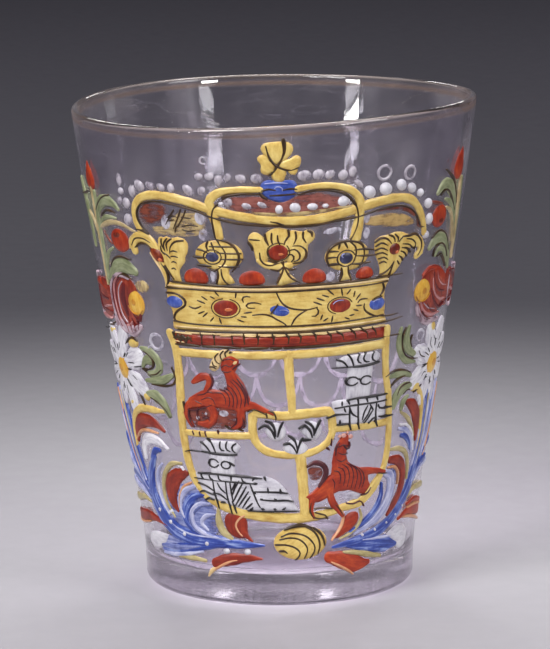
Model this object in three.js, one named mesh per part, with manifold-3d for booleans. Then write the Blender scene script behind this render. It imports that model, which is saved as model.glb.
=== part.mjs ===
// Enamelled drinking glass: a blown beaker with raised enamel painting, in millimetres.
// It stands on z = 0, its mouth is centred on the Z axis, and the painted shield faces -Y.
import * as THREE from "three";
import { mergeVertices } from "three/addons/utils/BufferGeometryUtils.js";
import Module from "manifold-3d";

const wasm = await Module();
wasm.setup();

// Sizes of the blown glass
const glassHeight = 108;
const rimRadius = 44.9;
const footRadius = 30;
const footWaistDepth = 1.1;
const lipThickness = 1.8;
const wallThickness = 2.1;
const floorThickness = 6.5;
const heelRadius = 1.8;
const innerCornerRadius = 4;
const standingRadius = 24;
const kickUp = 1.2;

// Hand-made unevenness: the mouth sits a little to one side, and its rim rises to the right and is warped
const mouthOffset = 0.72;
const rimRise = 1.2;
const rimWarp = 1;

// Enamel laid on the glass, with the clearance under each fired layer
const enamelThickness = 0.3;
const seatGap = 0.2;

// Fineness of the surfaces
const wallFacets = 60;
const outerRings = 8;
const innerRings = 6;
const lipSteps = 5;
const cornerSteps = 3;
const kickSteps = 2;
const outlineSpacing = 2.4;
const strokeSpacing = 5;
const stripWidth = 5;
const stripHeight = 24;
const lineTolerance = 0.02;

// The painting is drawn on an unrolled sheet: across in degrees from the front, up in millimetres
const sheetHeight = 108;
const sheetPerDegree = 0.64;

const degrees = Math.PI / 180;
const glass = new THREE.Group();

// Outer radius of the wall: a straight flare that is drawn in near the foot
const waistPeak = (1 / 6) * (5 / 6) ** 5;
function wallRadius(height) {
  const t = height / glassHeight;
  const drawnIn = footWaistDepth * t * Math.max(0, 1 - t) ** 5 / waistPeak;
  return footRadius + (rimRadius - footRadius) * t - drawnIn;
}

// Moves a point of the true round form to where the uneven hand-made glass has it
function bendOffTrue(x, y, z) {
  const t = z / glassHeight;
  const lift = rimRise * x / rimRadius - rimWarp * x * y / rimRadius ** 2;
  return new THREE.Vector3(x + mouthOffset * (1 - t), y, z + t * t * lift);
}

function bendGeometry(geometry, place) {
  const position = geometry.attributes.position;
  for (let i = 0; i < position.count; i++) {
    const point = place(position.getX(i), position.getY(i), position.getZ(i));
    position.setXYZ(i, point.x, point.y, point.z);
  }
  geometry.computeVertexNormals();
  return geometry;
}

function addPiece(name, geometry, finish) {
  const piece = new THREE.Mesh(geometry, finish());
  piece.name = name;
  glass.add(piece);
}

// Arc of profile points from one angle to another, both in degrees
function arc(centreRadius, centreHeight, radius, from, to, steps) {
  return Array.from({ length: steps + 1 }, (_, i) => {
    const angle = (from + (to - from) * i / steps) * degrees;
    return new THREE.Vector2(
      centreRadius + radius * Math.cos(angle),
      centreHeight + radius * Math.sin(angle),
    );
  });
}

// Clear blown glass with a faint grey-violet tint
function clearGlass() {
  return new THREE.MeshStandardMaterial({
    color: 0xcfc8d2, roughness: 0.05, metalness: 0, transparent: true, opacity: 0.35,
  });
}

// The beaker: hollow under the base, thick floor, thin flared wall, round lip
function glassBody() {
  const profile = [];
  for (let i = 0; i < kickSteps; i++) {
    const share = i / kickSteps;
    profile.push(new THREE.Vector2(standingRadius * share, kickUp * (1 - share * share)));
  }
  profile.push(new THREE.Vector2(standingRadius, 0));
  profile.push(...arc(wallRadius(heelRadius) - heelRadius, heelRadius, heelRadius, -90, 0, cornerSteps));

  const ringCrowding = 1.2;
  const lipRadius = lipThickness / 2;
  const lipHeight = glassHeight - lipRadius;
  for (let i = 1; i < outerRings; i++) {
    const height = heelRadius + (lipHeight - heelRadius) * (i / outerRings) ** ringCrowding;
    profile.push(new THREE.Vector2(wallRadius(height), height));
  }
  profile.push(...arc(wallRadius(lipHeight) - lipRadius, lipHeight, lipRadius, 0, 180, lipSteps));

  const cornerHeight = floorThickness + innerCornerRadius;
  for (let i = innerRings - 1; i > 0; i--) {
    const share = i / innerRings;
    const height = cornerHeight + (lipHeight - cornerHeight) * share;
    const wall = wallThickness + (lipThickness - wallThickness) * share;
    profile.push(new THREE.Vector2(wallRadius(height) - wall, height));
  }
  const innerRadius = wallRadius(cornerHeight) - wallThickness;
  const cornerCentre = innerRadius - innerCornerRadius;
  profile.push(...arc(cornerCentre, cornerHeight, innerCornerRadius, 0, -90, cornerSteps));
  profile.push(new THREE.Vector2(0, floorThickness));

  const lathe = new THREE.LatheGeometry(profile, wallFacets);
  lathe.rotateX(Math.PI / 2);
  addPiece("glass_body", bendGeometry(lathe, bendOffTrue), clearGlass);
}

// Enamel colours: opaque glass pastes, fired glossy
function enamelPaste(color, roughness) {
  return () => new THREE.MeshStandardMaterial({ color, roughness, metalness: 0 });
}
const yellowEnamel = enamelPaste(0xe3c25c, 0.35);
const paleYellowEnamel = enamelPaste(0xcdb988, 0.4);
const ochreEnamel = enamelPaste(0xc49a5a, 0.4);
const pinkEnamel = enamelPaste(0xb07a76, 0.4);
const redEnamel = enamelPaste(0xa43a1c, 0.3);
const roseEnamel = enamelPaste(0xa83f3a, 0.3);
const blueEnamel = enamelPaste(0x3c50b0, 0.3);
const greenEnamel = enamelPaste(0x8b9a6e, 0.4);
const whiteEnamel = enamelPaste(0xdad5da, 0.35);

// Drawing on the unrolled sheet
function sheetPoint([angle, height]) {
  return new THREE.Vector3(angle * sheetPerDegree, height, 0);
}

function shapeOf(points) {
  return new THREE.Shape(points.map((point) => new THREE.Vector2(point.x, point.y)));
}

// A painted patch with a soft outline through the points given
function patch(...points) {
  const curve = new THREE.CatmullRomCurve3(points.map(sheetPoint), true, "centripetal");
  const steps = Math.max(points.length, Math.round(curve.getLength() / outlineSpacing));
  return shapeOf(curve.getSpacedPoints(steps).slice(0, -1));
}

// A patch with straight sides
function panel(...points) {
  return shapeOf(points.map(sheetPoint));
}

// A brush stroke along the points given, with rounded ends; its widths are spread evenly over its length
function stroke(widths, ...points) {
  const curve = new THREE.CatmullRomCurve3(points.map(sheetPoint), false, "centripetal");
  const steps = Math.max(2, Math.round(curve.getLength() / strokeSpacing));
  const left = [];
  const right = [];
  for (let i = 0; i <= steps; i++) {
    const along = i / steps;
    const centre = curve.getPointAt(along);
    const way = curve.getTangentAt(along);
    const place = along * (widths.length - 1);
    const before = Math.floor(place);
    const half = THREE.MathUtils.lerp(widths[before], widths[Math.ceil(place)], place - before) / 2;
    const side = new THREE.Vector3(-way.y, way.x, 0).multiplyScalar(half);
    if (i === 0) right.push(centre.clone().addScaledVector(way, -half));
    left.push(centre.clone().add(side));
    right.push(centre.clone().sub(side));
    if (i === steps) right.push(centre.clone().addScaledVector(way, half));
  }
  return shapeOf([...right, ...left.reverse()]);
}

// An oval drop of enamel: half its width is in degrees, half its height in millimetres
function drop(angle, height, halfAngle, halfHeight, turn = 0) {
  const halfWidth = halfAngle * sheetPerDegree;
  const curve = new THREE.EllipseCurve(
    angle * sheetPerDegree, height, halfWidth, halfHeight, 0, 2 * Math.PI, false, turn * degrees,
  );
  const fewestPoints = 10;
  const steps = Math.max(fewestPoints, Math.round(Math.PI * (halfWidth + halfHeight) / outlineSpacing));
  return shapeOf(curve.getPoints(steps).slice(0, -1));
}

function solidOf(shape) {
  const slab = new THREE.ExtrudeGeometry(shape, { depth: enamelThickness, bevelEnabled: false });
  slab.deleteAttribute("normal");
  slab.deleteAttribute("uv");
  const merged = mergeVertices(slab);
  return new wasm.Manifold(new wasm.Mesh({
    numProp: 3,
    vertProperties: new Float32Array(merged.attributes.position.array),
    triVerts: new Uint32Array(merged.index.array),
  }));
}

// Cuts a triangle of the flat slab where it crosses evenly spaced lines, so that the slab can bend there
function cutAtLines(corners, axis, spacing) {
  const values = corners.map((corner) => corner[axis]);
  const lastLine = Math.max(...values) - lineTolerance;
  const pieces = [];
  let rest = corners;
  for (let line = Math.ceil(Math.min(...values) / spacing) * spacing; line < lastLine; line += spacing) {
    const near = [];
    const far = [];
    const sideOf = (corner) => {
      const distance = corner[axis] - line;
      return Math.abs(distance) < lineTolerance ? 0 : Math.sign(distance);
    };
    rest.forEach((corner, i) => {
      const next = rest[(i + 1) % rest.length];
      if (sideOf(corner) <= 0) near.push(corner);
      if (sideOf(corner) >= 0) far.push(corner);
      if (sideOf(corner) * sideOf(next) < 0) {
        const crossing = corner.clone().lerp(next, (line - corner[axis]) / (next[axis] - corner[axis]));
        near.push(crossing);
        far.push(crossing);
      }
    });
    if (far.length > 2) {
      pieces.push(near);
      rest = far;
    }
  }
  pieces.push(rest);
  return pieces.flatMap((piece) => piece.slice(2).map((corner, i) => [piece[0], piece[i + 1], corner]));
}

function geometryOf(solid) {
  const mesh = solid.getMesh();
  const corner = (index) => new THREE.Vector3().fromArray(mesh.vertProperties, 3 * mesh.triVerts[index]);
  let triangles = [];
  for (let i = 0; i < mesh.triVerts.length; i += 3) {
    triangles.push([corner(i), corner(i + 1), corner(i + 2)]);
  }
  triangles = triangles.flatMap((triangle) => cutAtLines(triangle, "x", stripWidth));
  triangles = triangles.flatMap((triangle) => cutAtLines(triangle, "y", stripHeight));
  return new THREE.BufferGeometry().setFromPoints(triangles.flat());
}

// Joins the strokes of one motif and lays the slab round the glass: coat 0 on the glass, 1 on coat 0
function enamel(name, finish, coat, ...shapes) {
  const solid = shapes.map(solidOf).reduce((all, next) => all.add(next));
  const stand = seatGap + coat * (enamelThickness + seatGap);
  const laid = bendGeometry(geometryOf(solid), (across, up, depth) => {
    const height = up * glassHeight / sheetHeight;
    const radius = wallRadius(height) + stand + depth;
    const angle = across / sheetPerDegree * degrees;
    return bendOffTrue(radius * Math.sin(angle), -radius * Math.cos(angle), height);
  });
  addPiece(name, laid, finish);
}

// Crown: trefoil with its neck, and the blue orb on top of the arches
function crownTop() {
  enamel("crown_trefoil", yellowEnamel, 0,
    patch(
      [-0.2, 99.8], [-1.4, 100.8], [-3, 102.2], [-3.7, 103.4], [-2.9, 104.4], [-0.4, 104.7],
      [2, 104.7], [4.1, 104.4], [5.3, 103.2], [4.8, 101.9], [3.4, 100.8], [1.8, 99.8],
    ),
    patch(
      [0.4, 99.6], [-0.4, 98.2], [-2.3, 97.5], [-3.8, 98.3], [-3.7, 99.8], [-4.8, 101.1], [-3.8, 102],
      [-2.4, 101.9], [-1.2, 100.8],
    ),
    patch(
      [0.8, 99.6], [2.4, 98.6], [4.6, 98.1], [6.5, 98.6], [7.4, 99.9], [7.2, 101.2], [5.9, 101.6],
      [4.4, 100.9], [2.6, 100.6],
    ),
    patch([-1, 99], [-0.6, 97.4], [0.6, 96.8], [2.6, 96.8], [3.2, 98], [3.4, 99.2], [1.6, 100.6]),
  );
  enamel("crown_orb", blueEnamel, 0, patch(
    [-4.1, 94.4], [-3.7, 95.8], [-2, 96.4], [-0.6, 96.2], [1.4, 96], [3.4, 96.2], [5.4, 96],
    [6.5, 94.8], [6.3, 93.4], [4.8, 92.1], [2.6, 91.6], [0, 91.8], [-2.5, 92.7],
  ));
}

// Crown: the band of arches, one brush-painted network that runs behind the orb
function crownArches() {
  enamel("crown_arches", yellowEnamel, 0,
    stroke([1.7, 2, 1.9, 1.5, 1.4],
      [-16.7, 85], [-17.4, 87.4], [-18.6, 90], [-18.8, 92.2], [-15.6, 94], [-10, 94.5], [-6.4, 94.4],
    ),
    stroke([1.4, 1.4, 1.6, 2, 2.2],
      [8.8, 94.4], [12.6, 94.6], [18, 94.2], [22.6, 92.9], [25.3, 90.6], [25.4, 87.6], [24.8, 84.2],
    ),
    stroke([1.6, 2, 2.1, 2, 2, 2.2, 2.2, 1.9, 1.4],
      [-44, 85.2], [-45.3, 86.7], [-45.1, 89.4], [-42.6, 91.7], [-38, 92.7], [-32, 92.6],
      [-26, 91.8], [-19, 90.2], [-11, 88.8], [-2, 87.7], [6, 87.3], [14, 87.5], [22, 88.6],
      [30, 89.7], [36, 90.1], [41, 89.9], [44.6, 88.9], [47.3, 87.1], [49.3, 85], [50.6, 83.2],
    ),
  );
}

// Crown: thin colour washes inside the loops of the arches
function crownLinings() {
  enamel("crown_lining_left", paleYellowEnamel, 0, patch(
    [-41.6, 85.6], [-38, 85.8], [-34.4, 86.2], [-30.6, 88.6], [-26, 89.6], [-21.4, 88.9], [-21, 86.2],
    [-21.8, 84.9], [-30, 84.6], [-38.6, 84.8],
  ));
  enamel("crown_lining_centre", pinkEnamel, 0, patch(
    [-15.2, 91.8], [-12.4, 92.8], [-8, 93.1], [-5.2, 92.6], [-3.2, 91.5], [1, 91], [5.6, 91.3],
    [8, 92.8], [12, 93.2], [16, 92.7], [20.4, 91.4], [22.4, 90.4], [14, 89.2], [4, 88.9], [-5, 89.3],
    [-12.4, 90.5],
  ));
  enamel("crown_lining_right", ochreEnamel, 0, patch(
    [28.2, 86.2], [31, 86.9], [34.6, 87.1], [38, 86.9], [42, 86.2], [45, 85.1], [46.4, 84.2],
    [44, 83.8], [40, 83.9], [35, 84.3], [31, 84.9],
  ));
}

// Crown: leaves with curled tips at the two ends
function crownLeaves() {
  enamel("crown_leaf_left", yellowEnamel, 0,
    patch(
      [-37.3, 82.4], [-36.4, 83.3], [-35.2, 82.9], [-34, 83.5], [-32.4, 83], [-30, 83.6], [-27.6, 83.2],
      [-26.6, 82], [-27, 80.4], [-28, 78.9], [-29.4, 77.2], [-30.5, 76], [-30.3, 74.2], [-35.4, 74.2],
      [-36.4, 76.4], [-37.4, 78.8],
    ),
    stroke([2, 2.5, 2.6, 2.5, 2.2], [-47.4, 79.5], [-48, 81.2], [-46, 82.6], [-42.4, 82.6], [-37, 81]),
  );
  enamel("crown_leaf_right", yellowEnamel, 0,
    patch(
      [31, 81.5], [33, 82.3], [36, 82.4], [38.4, 82.8], [41, 82.6], [43.6, 81.8], [44.8, 80],
      [44.4, 77.6], [42.6, 76.7], [41.2, 75.2], [38.8, 74.1], [33.8, 74.2], [33.2, 76.4],
      [31.8, 77.8], [31, 79.8],
    ),
    stroke([3.4, 2.6, 2.2, 1.6], [43.6, 80.2], [48.4, 79.9], [49.9, 78.8], [49.6, 77.4]),
  );
}

// Crown: striped discs on flared stalks
function crownDiscs() {
  enamel("crown_disc_left", yellowEnamel, 0,
    drop(-17, 80, 7.4, 3.3),
    panel([-18, 78], [-14, 78], [-13.5, 75.6], [-12.4, 73.9], [-18.4, 73.9], [-17.6, 75.6]),
  );
  enamel("crown_disc_right", yellowEnamel, 0,
    drop(22, 78.9, 7.1, 3.2),
    panel([20, 77], [22.8, 77], [22.7, 75.4], [24, 73.9], [19.4, 73.9], [20.3, 75.4]),
  );
}

// Crown: the fleuron in the middle, three petals over a flared stalk
function crownFleuron() {
  enamel("crown_fleuron", yellowEnamel, 0,
    patch(
      [-8, 83.5], [-7.4, 84.7], [-6, 85.2], [-4.4, 84.7], [-3, 83.6], [-2, 82.4], [-1.6, 80.6],
      [-2.4, 78.6], [-3.6, 77.7], [-5.2, 78.3], [-6, 79.6], [-6.3, 81], [-6.9, 82.2],
    ),
    patch(
      [-2.8, 83.6], [-3, 84.6], [-1.4, 85.6], [0.6, 86], [2.6, 85.8], [4.4, 85.1], [5.4, 84], [5, 81.6],
      [4.4, 79], [2, 77.4], [-1, 77.6], [-2.6, 79.6],
    ),
    patch(
      [3.4, 83.2], [4.2, 85.3], [6.2, 85.2], [8, 84.9], [9.6, 85.3], [11.2, 84.8], [11.8, 83.8],
      [11, 82.6], [9.8, 82], [9.6, 79.8], [8, 78.2], [5.4, 77.4], [3.2, 78.6], [2.8, 81],
    ),
    panel([0.8, 78.4], [3.6, 78.4], [4.3, 75.8], [6.4, 73.9], [0.2, 73.9], [1.2, 75.8]),
  );
}

// Crown: red velvet showing as domes between the stalks
function crownCaps() {
  const capBase = 73.9;
  const caps = [[-24.9, 3.8, 3], [-7.2, 3.8, 2.8], [11.8, 3.6, 2.8], [28.2, 2.9, 2.2]];
  caps.forEach(([centre, halfAngle, rise], index) => {
    const shoulder = capBase + 0.7 * rise;
    const foot = capBase + 0.1 * rise;
    enamel(`crown_cap_${index + 1}`, redEnamel, 0, patch(
      [centre - halfAngle, foot], [centre - 0.84 * halfAngle, shoulder], [centre, capBase + rise],
      [centre + 0.84 * halfAngle, shoulder], [centre + halfAngle, foot], [centre, capBase],
    ));
  });
}

// Circlet of the crown and the jewels laid on the crown in a second coat
function circlet() {
  enamel("crown_circlet", yellowEnamel, 0, panel(
    [-35.8, 73.3], [0, 73.1], [37.4, 73.3], [37.4, 72.2], [36.5, 71.2], [36.1, 70], [36.2, 68.6],
    [36.7, 66.8], [36.6, 65.4], [37.2, 64], [38, 63.3], [20, 62.9], [0, 62.7], [-34.8, 62.9], [-34.8, 64],
    [-34.5, 65.6], [-34.6, 67], [-35.6, 68.4], [-36.1, 70], [-35.9, 71.4],
  ));
  const jewels = [
    ["circlet_ruby_left", redEnamel, -15.7, 68.3, 4, 1.8],
    ["circlet_ruby_right", redEnamel, 20.2, 68.1, 3.5, 1.5],
    ["circlet_sapphire_left", blueEnamel, -32.2, 69, 3, 1.4],
    ["circlet_sapphire_centre", blueEnamel, 1.1, 67.7, 3.7, 1.4, -14],
    ["circlet_sapphire_right", blueEnamel, 32.6, 67.6, 3.1, 1.5],
    ["disc_sapphire_left", blueEnamel, -18.9, 79.7, 2.5, 1.35],
    ["disc_sapphire_right", blueEnamel, 21.5, 78.4, 2.6, 1.5],
    ["fleuron_ruby", redEnamel, 0.9, 80.8, 3, 1.3],
  ];
  for (const [name, finish, ...place] of jewels) enamel(name, finish, 1, drop(...place));
}

// Shield: red bar under the crown, and the yellow frame of four quarters round an oval middle
function shield() {
  enamel("chief_band", redEnamel, 0, panel(
    [-33, 62], [-33, 59.5], [0, 59.4], [36, 59.7], [36, 62.2], [0, 62],
  ));
  enamel("shield_frame", yellowEnamel, 0,
    stroke([2, 2.3, 2.3, 2.2, 2.4, 2.4, 1.9, 2, 2, 1.9, 2],
      [-36.1, 61], [-34.9, 58], [-34.7, 55], [-35, 50.2], [-35.8, 44.6], [-36.2, 38], [-35.8, 33.8],
      [-35, 31], [-33.4, 28.4], [-30.4, 25.8], [-26, 23.8], [-21, 22.6], [-13, 21.4], [-4, 20.7],
      [4, 20.4], [11, 20.4], [18, 21], [25, 22], [31, 22.7], [35.6, 23.9], [39, 25.4], [41.6, 27.4],
      [43.6, 29.8], [44.5, 33], [44.2, 38], [43.2, 42], [41.9, 46.5], [39.9, 51], [38.7, 56],
      [38.5, 61],
    ),
    stroke([1.9, 1.9, 2.2], [-34.8, 57.6], [0, 57.7], [20, 57.9], [38.4, 58]),
    stroke([2.1, 1.8], [3.8, 57.8], [4.2, 52], [4.8, 48], [5.1, 44.6]),
    stroke([1.5, 1.6, 1.8], [-36, 39.1], [-28, 39.1], [-18, 39.2], [-9.4, 39.4]),
    stroke([2.1, 1.9, 1.7, 1.8, 2.3, 2.2, 1.8],
      [-8.6, 44], [-8.9, 41], [-8.2, 38.4], [-5.6, 36.4], [-2, 35.4], [2, 35], [6, 34.9], [11, 35.2],
      [15, 36.1], [18, 37.4], [19.6, 39.4], [19.6, 42], [18.4, 44.3], [14, 44.4], [8, 44.2],
      [2, 43.9], [-3, 44.2], [-7.8, 44.5],
    ),
    stroke([1.7, 1.7], [19.4, 40.4], [27, 40.3], [35, 40.2], [43.6, 40.4]),
    stroke([2.6, 2.6], [8, 35], [8.6, 32.6], [9.1, 29], [9.8, 25], [10.4, 21]),
    stroke([1.7, 2.8, 2.6, 1.6], [33.8, 22.8], [37.4, 24.6], [41, 27], [43.2, 29.6]),
  );
}

// Rampant lions, painted over the frame
function lions() {
  enamel("lion_upper", redEnamel, 1,
    stroke([2.4, 3.6, 4.4, 4.4, 4.6, 3.4],
      [-30.4, 46.4], [-26, 47.3], [-22, 47.6], [-17.6, 47.5], [-13.6, 47.6], [-11.4, 47.6],
    ),
    stroke([4.4, 4.4, 4, 3.4, 2.6, 2.6],
      [-12.9, 46.6], [-13.2, 48.4], [-14, 50.6], [-15, 52.4], [-16, 54], [-16.2, 55],
    ),
    patch(
      [-18.7, 54.2], [-18.4, 56], [-16.8, 57.5], [-14.6, 57.9], [-13, 57.2], [-12.4, 56.2],
      [-13.2, 54.8], [-14.2, 53.6], [-16.8, 53.2],
    ),
    stroke([1, 1.8, 1.9, 1.7], [-29.3, 51], [-27, 52], [-24.8, 52.6], [-23.1, 52.1]),
    stroke([1.6, 1.5, 1.3], [-23.1, 52.4], [-23.3, 50.8], [-24.6, 49.2], [-25.2, 48.2]),
    stroke([2.8, 2, 1.5, 1, 0.6], [-11.4, 46.2], [-8.4, 46.3], [-5.4, 45.5], [-3, 44.9], [-1.5, 44.3]),
    stroke([2.2, 2, 1.9, 1.2], [-12.6, 46.2], [-12.8, 43.8], [-13.4, 42], [-15.8, 41.1]),
    stroke([2.6, 2.3, 1.6, 1.5, 1.2],
      [-28, 46.6], [-31.4, 45.9], [-33.3, 44.4], [-33, 42.4], [-31.6, 41.2],
    ),
    stroke([2.6, 2, 1.9, 1.7], [-24.4, 46.4], [-22.6, 44.6], [-22.8, 42.8], [-25, 41.7]),
  );
  enamel("lion_lower", redEnamel, 1,
    patch(
      [9, 24.9], [12, 26], [14.6, 27.3], [17, 28.9], [19.6, 30], [23, 30.4], [25, 29], [25, 26.4],
      [22, 25.6], [19.6, 24.9], [16, 23.9], [13.4, 23.8], [11.4, 24.4],
    ),
    patch(
      [19.9, 30.4], [20.6, 32.6], [23, 33.4], [26, 32.8], [28.4, 31.8], [31.4, 31], [34.6, 30.4],
      [36, 29], [36.4, 27.6], [37.6, 26.2], [36.6, 25], [34.4, 24.6], [31.6, 25.1], [28, 25.9],
      [24, 25.9], [21, 26.3], [19.6, 28],
    ),
    stroke([4, 3.8, 3.6, 3, 2], [23.6, 31.6], [23, 33.4], [23.2, 35.4], [24.4, 37.4], [24.6, 38.2]),
    stroke([2.6, 1.8, 1.5, 0.9], [31, 29.7], [36, 29.7], [40, 29.4], [44, 28.9]),
    stroke([2, 1.9, 1.6, 1.1], [19.8, 26], [20.4, 24.6], [21.6, 23.1], [23.4, 21.8], [25.8, 20.3]),
    stroke([1.6, 1.2, 0.9], [13.2, 24.6], [12.6, 23], [12.9, 21.4], [13.8, 20.4]),
    stroke([0.7, 1.3, 1.4, 1.3, 1],
      [10.8, 32.2], [12.8, 32.9], [15.4, 32.8], [17.4, 31.8], [18, 30.4], [17, 28.9], [15.4, 27.5],
    ),
  );
}

// Castles: a battlemented tower on a striped mount, painted over the frame
function castles() {
  enamel("castle_upper", whiteEnamel, 1,
    panel([24, 46.4], [24, 54.8], [33.7, 54.8], [33.4, 46.4]),
    panel(
      [19.8, 54.2], [20, 55.8], [22.4, 56.7], [34.6, 57.1], [36.6, 56], [35.6, 54.8], [33.2, 54.3],
      [27, 54],
    ),
    panel([18.8, 46.6], [21, 46.9], [40.6, 46.9], [40.8, 41.6], [34, 40.9], [27, 41], [20.8, 41.3]),
  );
  enamel("castle_lower", whiteEnamel, 1,
    panel([-26, 29.6], [-26, 35.4], [-16.1, 35.4], [-16.1, 29.6]),
    panel(
      [-29.1, 35.3], [-28.8, 37], [-26.6, 38], [-15.4, 38], [-13.4, 36.8], [-14.6, 35.3],
      [-16.2, 34.8], [-25.8, 34.9],
    ),
    panel(
      [-33.2, 28.8], [-32.6, 30.1], [-25.8, 30.4], [-6, 30.1], [-2.6, 29.8], [0.4, 28.7], [2.6, 27.2],
      [5.2, 24.6], [8, 22], [-6, 22], [-14, 22.1], [-22, 23.6], [-28, 24.2], [-31.8, 26],
    ),
  );
}

// Lilies in the oval middle of the shield; the lowest one is painted over the frame
function lilies() {
  enamel("lily_left", whiteEnamel, 0, patch(
    [-4.6, 40.6], [-3, 41.8], [-0.8, 42.5], [0.8, 42.2], [2.8, 41.2], [2.6, 39.4], [1, 38.3],
    [-1, 38.1], [-3.2, 39.2],
  ));
  enamel("lily_right", whiteEnamel, 0, patch(
    [7.8, 40.6], [9.4, 41.5], [11.5, 42.6], [13.4, 42.2], [15.6, 41.2], [15.2, 39.5], [13.6, 38.3],
    [11.4, 38.2], [9.4, 39.3],
  ));
  enamel("lily_lower", whiteEnamel, 1, patch(
    [1.8, 36.5], [3.4, 37.8], [5.2, 38.6], [6.8, 38.4], [8.4, 37.9], [10.4, 37], [10.8, 36],
    [9.6, 35.2], [6.8, 34.9], [3.6, 35.3],
  ));
}

// Ribbed shell that hangs under the shield
function shell() {
  enamel("pendant_shell", yellowEnamel, 0, drop(8.6, 14.7, 10.8, 3.9));
}

// Flower spray left of the shield
function leftSpray() {
  enamel("left_sprig", greenEnamel, 0,
    stroke([1.8, 2, 1.6], [-68, 90], [-67.6, 84], [-67, 77], [-66.4, 73]),
    stroke([0.9, 2, 3, 3, 2.2, 1],
      [-67.6, 84], [-66, 87.2], [-62.6, 89.3], [-58.6, 89.9], [-54.8, 89.3], [-53, 88.4],
    ),
    stroke([0.9, 1.2, 1.2, 0.6], [-67.4, 80.4], [-65.6, 83.8], [-62.4, 85.6], [-58, 86.2], [-55, 86.2]),
    stroke([0.9, 2.4, 3.6, 3.8, 2.2], [-66, 73.4], [-62, 74.2], [-58, 75.2], [-53.4, 75.5], [-48.8, 74.6]),
  );
  enamel("left_bud_top", redEnamel, 0, patch(
    [-72.8, 93.6], [-72.2, 91.9], [-69.4, 91.3], [-66.6, 91.9], [-65.8, 93.8], [-66.8, 95.6],
    [-68.4, 97], [-69.6, 98], [-71.4, 96],
  ));
  enamel("left_bud_side", redEnamel, 0, drop(-55.2, 81.2, 4.6, 2.6));
  enamel("left_carnation", roseEnamel, 0,
    patch(
      [-64.6, 67.4], [-62.6, 70.8], [-57, 72.6], [-51.6, 72.2], [-49, 70], [-48.8, 66], [-50, 63.4],
      [-53, 61.9], [-58, 61.8], [-62.6, 63.8],
    ),
    patch(
      [-83, 66], [-78, 70], [-71, 70.8], [-64, 69], [-62.6, 66], [-66, 63.4], [-73, 61.9], [-80, 62.2],
    ),
  );
  enamel("left_carnation_eye", yellowEnamel, 1, drop(-50.7, 67.3, 4, 2.4));
  daisy("left", -68, 51.1);
  enamel("left_petal_upper", redEnamel, 0, stroke([1.2, 3, 3.6, 3.4, 3, 2, 0.8],
    [-64.8, 34.4], [-64, 36.8], [-61.4, 38.7], [-57, 39.8], [-52, 40], [-47.6, 39.2], [-45.4, 38.4],
  ));
  enamel("left_petal_lower", redEnamel, 0, stroke([1, 2.6, 3.4, 3.6, 3.2, 1.2],
    [-38.8, 29.8], [-42.6, 29.2], [-46, 27.2], [-47.4, 24.6], [-46.8, 22.2], [-44.2, 20.4],
  ));
  enamel("left_petal_inner", redEnamel, 0, patch(
    [-22.1, 18.7], [-21.4, 20], [-19, 20.6], [-16, 20.5], [-13.6, 19.8], [-12.6, 19], [-12.4, 17.6],
    [-11.6, 16.2], [-11.2, 15.6], [-15, 15.6], [-18.4, 15.9], [-21, 17],
  ));
  enamel("left_petal_bottom", redEnamel, 0, stroke([2.2, 3, 2.6, 1.8, 0.4],
    [-27.6, 9.3], [-24, 10], [-18, 10.7], [-12, 11.1], [-7, 11],
  ));
  enamel("left_scroll", blueEnamel, 0,
    stroke([1.4, 3, 4.4, 4.8, 4.4, 3.6, 3, 2.4, 1.6, 0.5],
      [-53.6, 31.8], [-56.8, 29.2], [-59.4, 25.6], [-58.6, 21.4], [-53.6, 17.8], [-47.6, 15.6],
      [-38, 14.2], [-28, 14.2], [-18, 14], [-6, 14],
    ),
    stroke([1.4, 3, 3.6, 2.6], [-80, 25.4], [-72, 25.4], [-65, 24.4], [-59.4, 21.6]),
    stroke([1.4, 2.6, 2.6, 1.9, 0.8], [-55.6, 10.5], [-48, 11.1], [-40, 12], [-31, 13], [-22, 13.7]),
    stroke([0.6, 1.6, 2.2, 2.4, 1.8], [-32, 23], [-35.4, 23.3], [-39, 21.5], [-40.8, 19], [-38, 15.6]),
  );
}

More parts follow.
